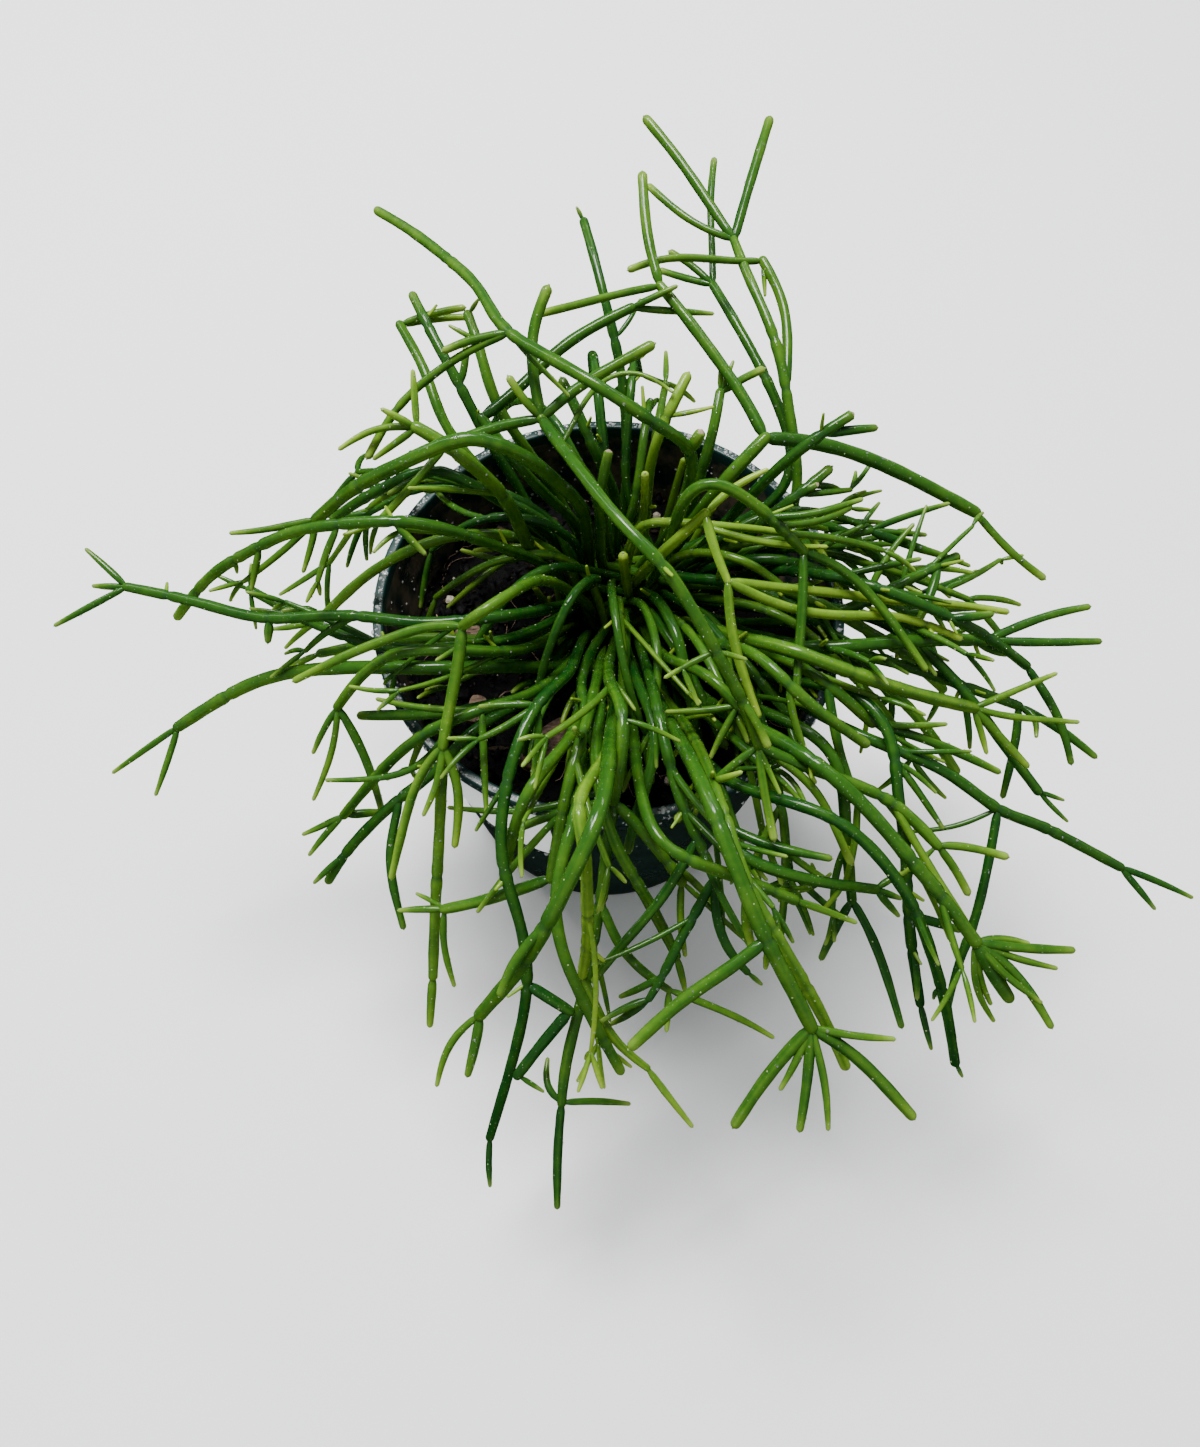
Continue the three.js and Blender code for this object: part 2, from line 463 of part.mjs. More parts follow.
// The three axes of the view: right, up and towards the viewer
function viewAxes() {
  const back = new THREE.Vector3(0, -Math.cos(VIEW.elevation), Math.sin(VIEW.elevation));
  const right = new THREE.Vector3(1, 0, 0);
  const up = new THREE.Vector3().crossVectors(back, right);
  return {
    back,
    right: right.clone().applyAxisAngle(back, VIEW.roll),
    up: up.clone().applyAxisAngle(back, VIEW.roll),
  };
}
const AXES = viewAxes();

// The place at a given height that the view shows at a given point of its frame
function seen([px, py], height) {
  const ray = AXES.back.clone().negate();
  ray.addScaledVector(AXES.right, (px - VIEW.centre[0]) / VIEW.focal);
  ray.addScaledVector(AXES.up, (VIEW.centre[1] - py) / VIEW.focal);
  return VIEW.place.clone().addScaledVector(ray, (height - VIEW.place.z) / ray.z);
}

// Where the view shows a place, the other way round
function shownAt(place) {
  const offset = place.clone().sub(VIEW.place);
  const depth = -offset.dot(AXES.back);
  return [
    VIEW.centre[0] + (VIEW.focal * offset.dot(AXES.right)) / depth,
    VIEW.centre[1] - (VIEW.focal * offset.dot(AXES.up)) / depth,
  ];
}

// How far along each point of a path lies, from 0 at its start to 1 at its end
function shares(start, path) {
  const lengths = [0];
  let last = start;
  for (const point of path) {
    lengths.push(lengths.at(-1) + Math.hypot(point[0] - last[0], point[1] - last[1]));
    last = point;
  }
  return lengths.map((length) => length / lengths.at(-1));
}

// Heights of an arch: up to its highest point in a quarter wave, and down in another
function archHeights(startHeight, share, [peakIndex, peak, end]) {
  const top = share[peakIndex + 1];
  return share.slice(1).map((s) => {
    if (s <= top) return startHeight + (peak - startHeight) * Math.sin((Math.PI / 2) * (s / top));
    return end + (peak - end) * Math.cos((Math.PI / 2) * ((s - top) / (1 - top)));
  });
}

// Points along a smooth curve through the controls, about 3 mm apart, and the index of each control
const SAMPLE = 3;
function smooth(controls) {
  const curve = new THREE.CatmullRomCurve3(controls, false, "centripetal");
  const points = [controls[0].clone()];
  const marks = [0];
  const spans = controls.length - 1;
  for (let span = 0; span < spans; span++) {
    const length = controls[span].distanceTo(controls[span + 1]);
    const steps = Math.max(1, Math.round(length / SAMPLE));
    for (let step = 1; step <= steps; step++) points.push(curve.getPoint((span + step / steps) / spans));
    marks.push(points.length - 1);
  }
  return { points, marks };
}

// The places where the sprays are rooted: under the side that each one leans to, pushed apart
function rootPlaces() {
  const [cx, cy] = ROOT.crown;
  const places = SPRAYS.map(([, , , [peakIndex, peak], path]) => {
    const top = seen(path[peakIndex], peak);
    return [cx + (top.x - cx) * ROOT.lean, cy + (top.y - cy) * ROOT.lean];
  });
  for (let round = 0; round < ROOT.rounds; round++) {
    const moves = places.map(() => [0, 0]);
    for (let i = 0; i < places.length; i++) {
      for (let j = i + 1; j < places.length; j++) {
        const dx = places[j][0] - places[i][0];
        const dy = places[j][1] - places[i][1];
        const gap = Math.hypot(dx, dy);
        if (gap >= ROOT.spacing) continue;
        const push = (ROOT.push * (ROOT.spacing - gap)) / gap;
        moves[i][0] -= dx * push;
        moves[i][1] -= dy * push;
        moves[j][0] += dx * push;
        moves[j][1] += dy * push;
      }
    }
    places.forEach((place, i) => {
      place[0] += moves[i][0];
      place[1] += moves[i][1];
    });
  }
  return places;
}

// Every chain of a spray: the stem from its root, then its branches from their joints
function growSpray(spray, sprayIndex, root, chains) {
  const [, radius, , arch, path, branches] = spray;
  const rootTop = new THREE.Vector3(root[0], root[1], SOIL.top);
  const stem = growChain(sprayIndex, null, 0, rootTop, radius, arch, path, chains, root);
  growBranches(sprayIndex, stem, branches, chains);
}

function growBranches(sprayIndex, parent, branches, chains) {
  for (const [from, radius, rise, path, twigs] of branches) {
    const mark = parent.marks[from + parent.lead];
    const start = parent.points[mark];
    const chain = growChain(sprayIndex, parent, mark, start, radius, rise, path, chains);
    growBranches(sprayIndex, chain, twigs ?? [], chains);
  }
}

function growChain(sprayIndex, parent, mark, start, radius, rise, path, chains, root) {
  const share = shares(shownAt(start), path);
  const heights = Array.isArray(rise)
    ? archHeights(start.z, share, rise)
    : share.slice(1).map((s) => start.z + rise * s);
  const controls = path.map((point, i) => seen(point, heights[i]));
  if (root) {
    const lower = new THREE.Vector3(root[0], root[1], SOIL.top - ROOT.depth);
    const above = start.clone().lerp(controls[0], ROOT.upkeep).setZ(SOIL.top + ROOT.upright);
    controls.unshift(lower, start.clone(), above);
  } else {
    controls.unshift(start.clone());
  }
  const { points, marks } = smooth(controls);
  const lead = root ? 3 : 1;
  const chain = { sprayIndex, parent, mark, radius, points, marks, lead, tapers: radius < MAIN };
  chains.push(chain);
  return chain;
}

// Stems lean out of each other's way, and stay clear of the pot and the mix. The move is mostly
// along the line of sight, so the view keeps its picture.
const EASE = {
  rounds: 320,
  apart: 1.15,
  reach: 14,
  sideways: 0.35,
  forward: 0.2,
  rootHeight: SOIL.top + ROOT.upright,
  step: 0.5,
  longest: 1.5,
  stiff: 0.3,
};

function potOuterRadius(z) {
  if (z > SHOULDER) return POT.rimRadius;
  return THREE.MathUtils.mapLinear(z, 0, SHOULDER, POT.baseRadius, POT.wallTopRadius);
}

function potInnerRadius(z) {
  const height = Math.min(z, SHOULDER);
  const outside = THREE.MathUtils.mapLinear(height, POT.floor, SHOULDER, POT.baseRadius, POT.wallTopRadius);
  return outside - POT.wall;
}

function clearOfPot(place, radius, move) {
  const away = radius + EASE.apart;
  const reach = Math.hypot(place.x, place.y);
  const outer = potOuterRadius(place.z) + away;
  const inner = potInnerRadius(place.z) - away;
  const top = POT.height + away;
  if (reach < inner) {
    move.z += Math.max(0, SOIL.top + away - place.z);
    return;
  }
  if (reach > outer || place.z > top) return;
  const up = top - place.z;
  const out = outer - reach;
  const back = place.z > SOIL.top ? reach - inner : Infinity;
  if (up <= out && up <= back) move.z += up;
  else if (out <= back) move.add(new THREE.Vector3(place.x, place.y, 0).setLength(out));
  else move.add(new THREE.Vector3(place.x, place.y, 0).setLength(-back));
}

function neighbours(points) {
  const pairs = [];
  for (let i = 0; i < points.length; i++) {
    for (let j = i + 1; j < points.length; j++) {
      if (points[i].spray === points[j].spray) continue;
      if (points[i].fixed && points[j].fixed) continue;
      if (points[i].place.distanceToSquared(points[j].place) < EASE.reach ** 2) pairs.push([i, j]);
    }
  }
  return pairs;
}

function pushApart(a, b) {
  const gap = b.place.clone().sub(a.place);
  const need = a.radius + b.radius + EASE.apart;
  const distance = gap.length();
  if (distance >= need) return;
  const depth = gap.dot(a.sight);
  const side = gap.clone().addScaledVector(a.sight, -depth);
  const forward = depth >= 0 ? EASE.forward : -EASE.forward;
  const push = side.multiplyScalar(EASE.sideways).addScaledVector(a.sight, depth + forward);
  push.setLength((need - distance) * EASE.step);
  b.move.add(push);
  a.move.sub(push);
}

function easeApart(chains) {
  const points = [];
  for (const chain of chains) {
    chain.first = points.length;
    chain.points.forEach((place) => {
      const sight = place.clone().sub(VIEW.place).normalize();
      const fixed = !chain.parent && place.z < EASE.rootHeight;
      const start = place.clone();
      const move = new THREE.Vector3();
      points.push({ spray: chain.sprayIndex, radius: chain.radius, place, start, sight, fixed, move });
    });
  }
  const pairs = neighbours(points);
  for (let round = 0; round < EASE.rounds; round++) {
    for (const point of points) point.move.set(0, 0, 0);
    for (const [i, j] of pairs) pushApart(points[i], points[j]);
    for (const point of points) {
      if (point.fixed) continue;
      clearOfPot(point.place, point.radius, point.move);
      point.place.add(point.move.clampLength(0, EASE.longest));
    }
    for (const chain of chains) stiffen(chain, points);
  }
}

// A chain bends as a whole: each point's shift is drawn towards those of its two neighbours
function stiffen(chain, points) {
  const own = points.slice(chain.first, chain.first + chain.points.length);
  if (chain.parent) {
    own[0].place.copy(chain.parent.points[chain.mark]);
  }
  const shifts = own.map((point) => point.place.clone().sub(point.start));
  own.forEach((point, i) => {
    if (i === 0 || point.fixed) return;
    const next = shifts[Math.min(i + 1, own.length - 1)];
    const mean = shifts[i - 1].clone().add(next).multiplyScalar(0.5);
    point.place.copy(point.start).add(shifts[i].clone().lerp(mean, EASE.stiff));
  });
}

// A closed tube through rings of given radius, with a rounded far end
function tubeGeometry(centres, radii, sides) {
  const positions = [];
  const index = [];
  let normal = new THREE.Vector3(0.3, 1, 0.2);
  const last = centres.length - 1;
  centres.forEach((centre, i) => {
    const tangent = centres[Math.min(i + 1, last)].clone().sub(centres[Math.max(i - 1, 0)]).normalize();
    normal = normal.clone().addScaledVector(tangent, -normal.dot(tangent)).normalize();
    const side = new THREE.Vector3().crossVectors(tangent, normal);
    for (let k = 0; k < sides; k++) {
      const angle = (2 * Math.PI * k) / sides;
      const corner = centre.clone().addScaledVector(normal, radii[i] * Math.cos(angle));
      corner.addScaledVector(side, radii[i] * Math.sin(angle));
      positions.push(...corner.toArray());
    }
  });
  const endTangent = centres[last].clone().sub(centres[last - 1]).normalize();
  positions.push(...centres[0].toArray());
  positions.push(...centres[last].clone().addScaledVector(endTangent, 0.5 * radii[last]).toArray());
  const startCap = centres.length * sides;
  for (let k = 0; k < sides; k++) {
    const next = (k + 1) % sides;
    index.push(startCap, next, k);
    index.push(startCap + 1, last * sides + k, last * sides + next);
    for (let i = 0; i < last; i++) {
      const low = i * sides;
      const high = low + sides;
      index.push(low + k, low + next, high + next);
      index.push(low + k, high + next, high + k);
    }
  }
  const geometry = new THREE.BufferGeometry();
  geometry.setAttribute("position", new THREE.Float32BufferAttribute(positions, 3));
  geometry.setIndex(index);
  return geometry;
}

// The rings of a chain: its two ends, its joints, which are a little waisted, and its bends. The
// shares of the radius are those of a neck, where a branch begins, a joint, a twig's tip and an end.
const RINGS = { bend: 0.5, neck: 0.6, waist: 0.84, tip: 0.62, blunt: 0.86 };

function sidesOf(radius) {
  if (radius >= THICK) return 5;
  return radius >= SLIM ? 4 : 3;
}

// The samples between two others that the chain needs to keep its shape
function bendsBetween(points, from, to) {
  const chord = new THREE.Line3(points[from], points[to]);
  const nearest = new THREE.Vector3();
  let worst = RINGS.bend;
  let bend = -1;
  for (let i = from + 1; i < to; i++) {
    const away = chord.closestPointToPoint(points[i], true, nearest).distanceTo(points[i]);
    if (away > worst) {
      worst = away;
      bend = i;
    }
  }
  if (bend < 0) return [];
  return [...bendsBetween(points, from, bend), bend, ...bendsBetween(points, bend, to)];
}

function chainSolid(chain) {
  const last = chain.points.length - 1;
  const joints = new Set(chain.joints);
  const stops = [0, ...[...joints].sort((a, b) => a - b), last];
  const kept = [0];
  for (let i = 1; i < stops.length; i++) {
    kept.push(...bendsBetween(chain.points, stops[i - 1], stops[i]), stops[i]);
  }
  const centres = kept.map((i) => chain.points[i]);
  const radii = kept.map((i) => {
    const taper = chain.tapers ? THREE.MathUtils.lerp(1, RINGS.tip, i / last) : 1;
    if (i === last) return chain.radius * taper * RINGS.blunt;
    if (i === 0 && chain.parent) return chain.radius * RINGS.neck;
    return chain.radius * taper * (joints.has(i) ? RINGS.waist : 1);
  });
  return solidOf(tubeGeometry(centres, radii, sidesOf(chain.radius)));
}

function sprayMeshes(chains) {
  for (const chain of chains) chain.joints = [];
  for (const chain of chains) {
    const { parent, mark } = chain;
    if (parent && mark < parent.points.length - 1 && mark > 0) parent.joints.push(mark);
  }
  return SPRAYS.map(([name, , shade], sprayIndex) => {
    const own = chains.filter((chain) => chain.sprayIndex === sprayIndex);
    const joined = own.map(chainSolid).reduce((whole, next) => whole.add(next));
    return meshOf("stem_" + name, geometryOf(joined), tone("#2a6a26", "#8bb52d", shade), 0.35);
  });
}

// The pot: a turned shell with a rolled rim band, and drainage holes near the edge of its base
function potMesh() {
  const { height, rimRadius, lipWidth, wallTopRadius, baseRadius, wall, floor } = POT;
  const bevel = 0.5;
  const outline = [
    [0, 0],
    [baseRadius - 2 * bevel, 0],
    [baseRadius, 2 * bevel],
    [wallTopRadius, SHOULDER],
    [rimRadius - bevel / 2, SHOULDER],
    [rimRadius, height - bevel],
    [rimRadius - bevel, height],
    [rimRadius - lipWidth + bevel / 2, height],
    [wallTopRadius - wall, SHOULDER],
    [baseRadius - wall, floor + bevel],
    [baseRadius - wall - bevel, floor],
    [0, floor],
  ].map(([r, z]) => new THREE.Vector2(r, z));
  const shell = new THREE.LatheGeometry(outline, POT.facets).rotateX(Math.PI / 2);
  let solid = solidOf(shell);
  for (let i = 0; i < DRAIN.count; i++) {
    const angle = (2 * Math.PI * (i + 0.5)) / DRAIN.count;
    const hole = new THREE.CylinderGeometry(DRAIN.radius, DRAIN.radius, 4 * floor, DRAIN.facets);
    hole.rotateX(Math.PI / 2);
    hole.translate(DRAIN.ring * Math.cos(angle), DRAIN.ring * Math.sin(angle), 0);
    solid = solid.subtract(solidOf(hole));
  }
  return meshOf("pot", geometryOf(solid), "#21443d", 0.4);
}

// The blank label: a thin plate with rounded corners, bent round the front left of the wall
function labelMesh() {
  const { edges, heights, corner, thickness, columns } = LABEL;
  const [start, end] = edges.map(THREE.MathUtils.degToRad);
  const [low, high] = heights;
  const width = (end - start) * potOuterRadius((low + high) / 2);
  const sides = 4;
  const positions = [];
  const index = [];
  for (let column = 0; column <= columns; column++) {
    const share = (1 - Math.cos((Math.PI * column) / columns)) / 2;
    const inset = Math.max(0, corner - width * Math.min(share, 1 - share));
    const trim = corner - Math.sqrt(corner ** 2 - inset ** 2);
    const turn = start + (end - start) * share;
    for (const [z, lift] of [
      [low + trim, CLEARANCE],
      [low + trim, CLEARANCE + thickness],
      [high - trim, CLEARANCE + thickness],
      [high - trim, CLEARANCE],
    ]) {
      const radius = potOuterRadius(z) + lift;
      positions.push(radius * Math.cos(turn), radius * Math.sin(turn), z);
    }
  }
  for (let column = 0; column < columns; column++) {
    for (let side = 0; side < sides; side++) {
      const [a, b] = [sides * column + side, sides * column + ((side + 1) % sides)];
      index.push(a, a + sides, b, b, a + sides, b + sides);
    }
  }
  const last = sides * columns;
  index.push(0, 1, 2, 0, 2, 3, last, last + 2, last + 1, last, last + 3, last + 2);
  const geometry = new THREE.BufferGeometry();
  geometry.setAttribute("position", new THREE.Float32BufferAttribute(positions, 3));
  geometry.setIndex(index);
  return meshOf("blank_label", geometryOf(solidOf(geometry)), "#d9dcda", 0.5);
}

// The mix: a turned plug that fills the pot, with a dimpled top and plain holes for the stems
function soilMesh(roots) {
  const bottom = POT.floor + SOIL.clearance;
  const foot = bottom + SOIL.bevel;
  const shoulder = SOIL.top - SOIL.bevel;
  const outline = [
    [0, bottom],
    [potInnerRadius(foot) - SOIL.clearance - SOIL.bevel, bottom],
    [potInnerRadius(foot) - SOIL.clearance, foot],
    [potInnerRadius(shoulder) - SOIL.clearance, shoulder],
    [potInnerRadius(shoulder) - SOIL.clearance - SOIL.bevel, SOIL.top],
    ...SOIL.rings.toReversed().map((radius) => [radius, SOIL.top]),
    [0, SOIL.top],
  ].map(([r, z]) => new THREE.Vector2(r, z));
  const plug = mergeVertices(strip(new THREE.LatheGeometry(outline, POT.facets)).rotateX(Math.PI / 2), 1e-4);
  const random = makeRandom(SEEDS.dimples);
  const place = plug.attributes.position;
  for (let i = 0; i < place.count; i++) {
    if (place.getZ(i) > SOIL.top - 0.1) place.setZ(i, SOIL.top - SOIL.dimple * random());
  }
  let solid = solidOf(plug);
  roots.forEach(([x, y], i) => {
    const radius = (SPRAYS[i][1] + ROOT.holeClearance) / Math.cos(Math.PI / ROOT.facets);
    const length = 2 * (ROOT.depth + CLEARANCE);
    const hole = new THREE.CylinderGeometry(radius, radius, length, ROOT.facets);
    hole.rotateX(Math.PI / 2);
    hole.translate(x, y, SOIL.top);
    solid = solid.subtract(solidOf(hole));
  });
  return meshOf("potting_mix", geometryOf(solid), "#221a14", 0.95);
}

function strip(geometry) {
  geometry.deleteAttribute("normal");
  geometry.deleteAttribute("uv");
  return geometry;
}

// A rough lump: a rounded block whose corners are pulled in or out by chance
function lump(size, roughness, seed) {
  const ball = mergeVertices(strip(new THREE.DodecahedronGeometry(0.5)), 1e-4);
  const random = makeRandom(seed);
  const place = ball.attributes.position;
  for (let i = 0; i < place.count; i++) {
    const factor = 1 + roughness * (random() - 0.5);
    place.setXYZ(i, place.getX(i) * factor, place.getY(i) * factor, place.getZ(i));
  }
  return ball.scale(...size);
}

function lumpMeshes() {
  const chips = CHIPS.map(([name, [x, y], size, turn], i) => {
    const chip = lump(size, 0.5, SEEDS.chips + i);
    chip.rotateZ(THREE.MathUtils.degToRad(turn));
    chip.translate(x, y, SOIL.top + CLEARANCE + size[2] / 2);
    return meshOf(name, chip, "#5a3a24", 0.9);
  });
  const grains = PERLITE.map(([name, [x, y], size], i) => {
    const grain = lump([size, size, size], 0.3, SEEDS.grains + i);
    grain.translate(x, y, SOIL.top + CLEARANCE + size / 2);
    return meshOf(name, grain, "#cfc8ba", 0.9);
  });
  return [...chips, ...grains];
}

const roots = rootPlaces();
const chains = [];
SPRAYS.forEach((spray, i) => growSpray(spray, i, roots[i], chains));
easeApart(chains);

const plant = new THREE.Group();
plant.add(potMesh(), labelMesh(), soilMesh(roots), ...lumpMeshes(), ...sprayMeshes(chains));

export default plant;
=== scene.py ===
"""A cashero mistletoe cactus in its nursery pot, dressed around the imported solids. Metres, +Z up.

Sizes are held in millimetres, as in the solids, and turn into metres where a mesh is made.
"""

import json
import math
import random

import bmesh
import bpy
import numpy as np
from mathutils import Matrix, Vector, noise

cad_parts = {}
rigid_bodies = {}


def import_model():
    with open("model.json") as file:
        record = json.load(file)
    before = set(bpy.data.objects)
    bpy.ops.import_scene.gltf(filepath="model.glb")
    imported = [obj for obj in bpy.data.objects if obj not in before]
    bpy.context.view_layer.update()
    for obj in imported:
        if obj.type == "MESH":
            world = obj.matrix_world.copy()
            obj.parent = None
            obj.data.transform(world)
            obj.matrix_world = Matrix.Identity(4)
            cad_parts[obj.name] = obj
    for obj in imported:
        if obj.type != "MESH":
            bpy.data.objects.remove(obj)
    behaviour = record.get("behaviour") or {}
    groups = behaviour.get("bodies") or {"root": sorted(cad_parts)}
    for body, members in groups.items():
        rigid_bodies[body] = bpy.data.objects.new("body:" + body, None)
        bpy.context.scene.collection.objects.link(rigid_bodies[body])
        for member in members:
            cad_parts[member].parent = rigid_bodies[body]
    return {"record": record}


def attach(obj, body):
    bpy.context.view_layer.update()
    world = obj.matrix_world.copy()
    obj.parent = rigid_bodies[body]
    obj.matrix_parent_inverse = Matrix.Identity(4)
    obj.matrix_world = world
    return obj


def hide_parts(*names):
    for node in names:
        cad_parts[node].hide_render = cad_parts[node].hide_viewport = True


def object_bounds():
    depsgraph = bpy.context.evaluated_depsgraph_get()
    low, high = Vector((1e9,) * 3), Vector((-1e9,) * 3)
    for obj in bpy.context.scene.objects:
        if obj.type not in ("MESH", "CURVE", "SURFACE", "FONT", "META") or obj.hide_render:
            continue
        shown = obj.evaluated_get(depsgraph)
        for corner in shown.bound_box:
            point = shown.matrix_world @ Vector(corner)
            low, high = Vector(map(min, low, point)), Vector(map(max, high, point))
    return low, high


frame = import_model()
cad_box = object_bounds()
frame_slots = {entry["node"]: entry["material_slot"] for entry in frame["record"]["subparts"]}

MM = 0.001

# The pot, the mix and the roots, in millimetres, as in the solids
POT_HEIGHT = 90
RIM_RADIUS = 52.5
LIP_WIDTH = 2.3
BAND_HEIGHT = 3
WALL_TOP_RADIUS = 51.2
BASE_RADIUS = 37.5
WALL = 1.2
FLOOR = 2.4
SHOULDER = POT_HEIGHT - BAND_HEIGHT
DRAIN_COUNT = 6
DRAIN_RADIUS = 4
DRAIN_RING = 26
SOIL_TOP = 70
SOIL_CLEARANCE = 0.3
SOIL_BEVEL = 1.4
ROOT_DEPTH = 12
ROOT_SPACING = 4
ROOT_CROWN = (3, 12)
ROOT_LEAN = 0.17
ROOT_ROUNDS = 400
ROOT_PUSH = 0.3
ROOT_UPRIGHT = 5
ROOT_UPKEEP = 0.06

# The viewpoint from which the stems were measured, and of the camera
VIEW_PLACE = np.array([-1.6, -146.5, 316.4])
VIEW_ELEVATION = math.radians(62.84)
VIEW_ROLL = math.radians(0.7)
VIEW_FOCAL = 1203
FRAME_WIDTH = 1200
FRAME_HEIGHT = 1447

# Stem radii in millimetres
THICK = 1.35
MAIN = 1.1
SLIM = 0.92
TWIG = 0.7
FINE = 0.52

# Tones of green, from old stems to new growth
DARK = 0
GREEN = 0.35
FRESH = 0.65
LIME = 1

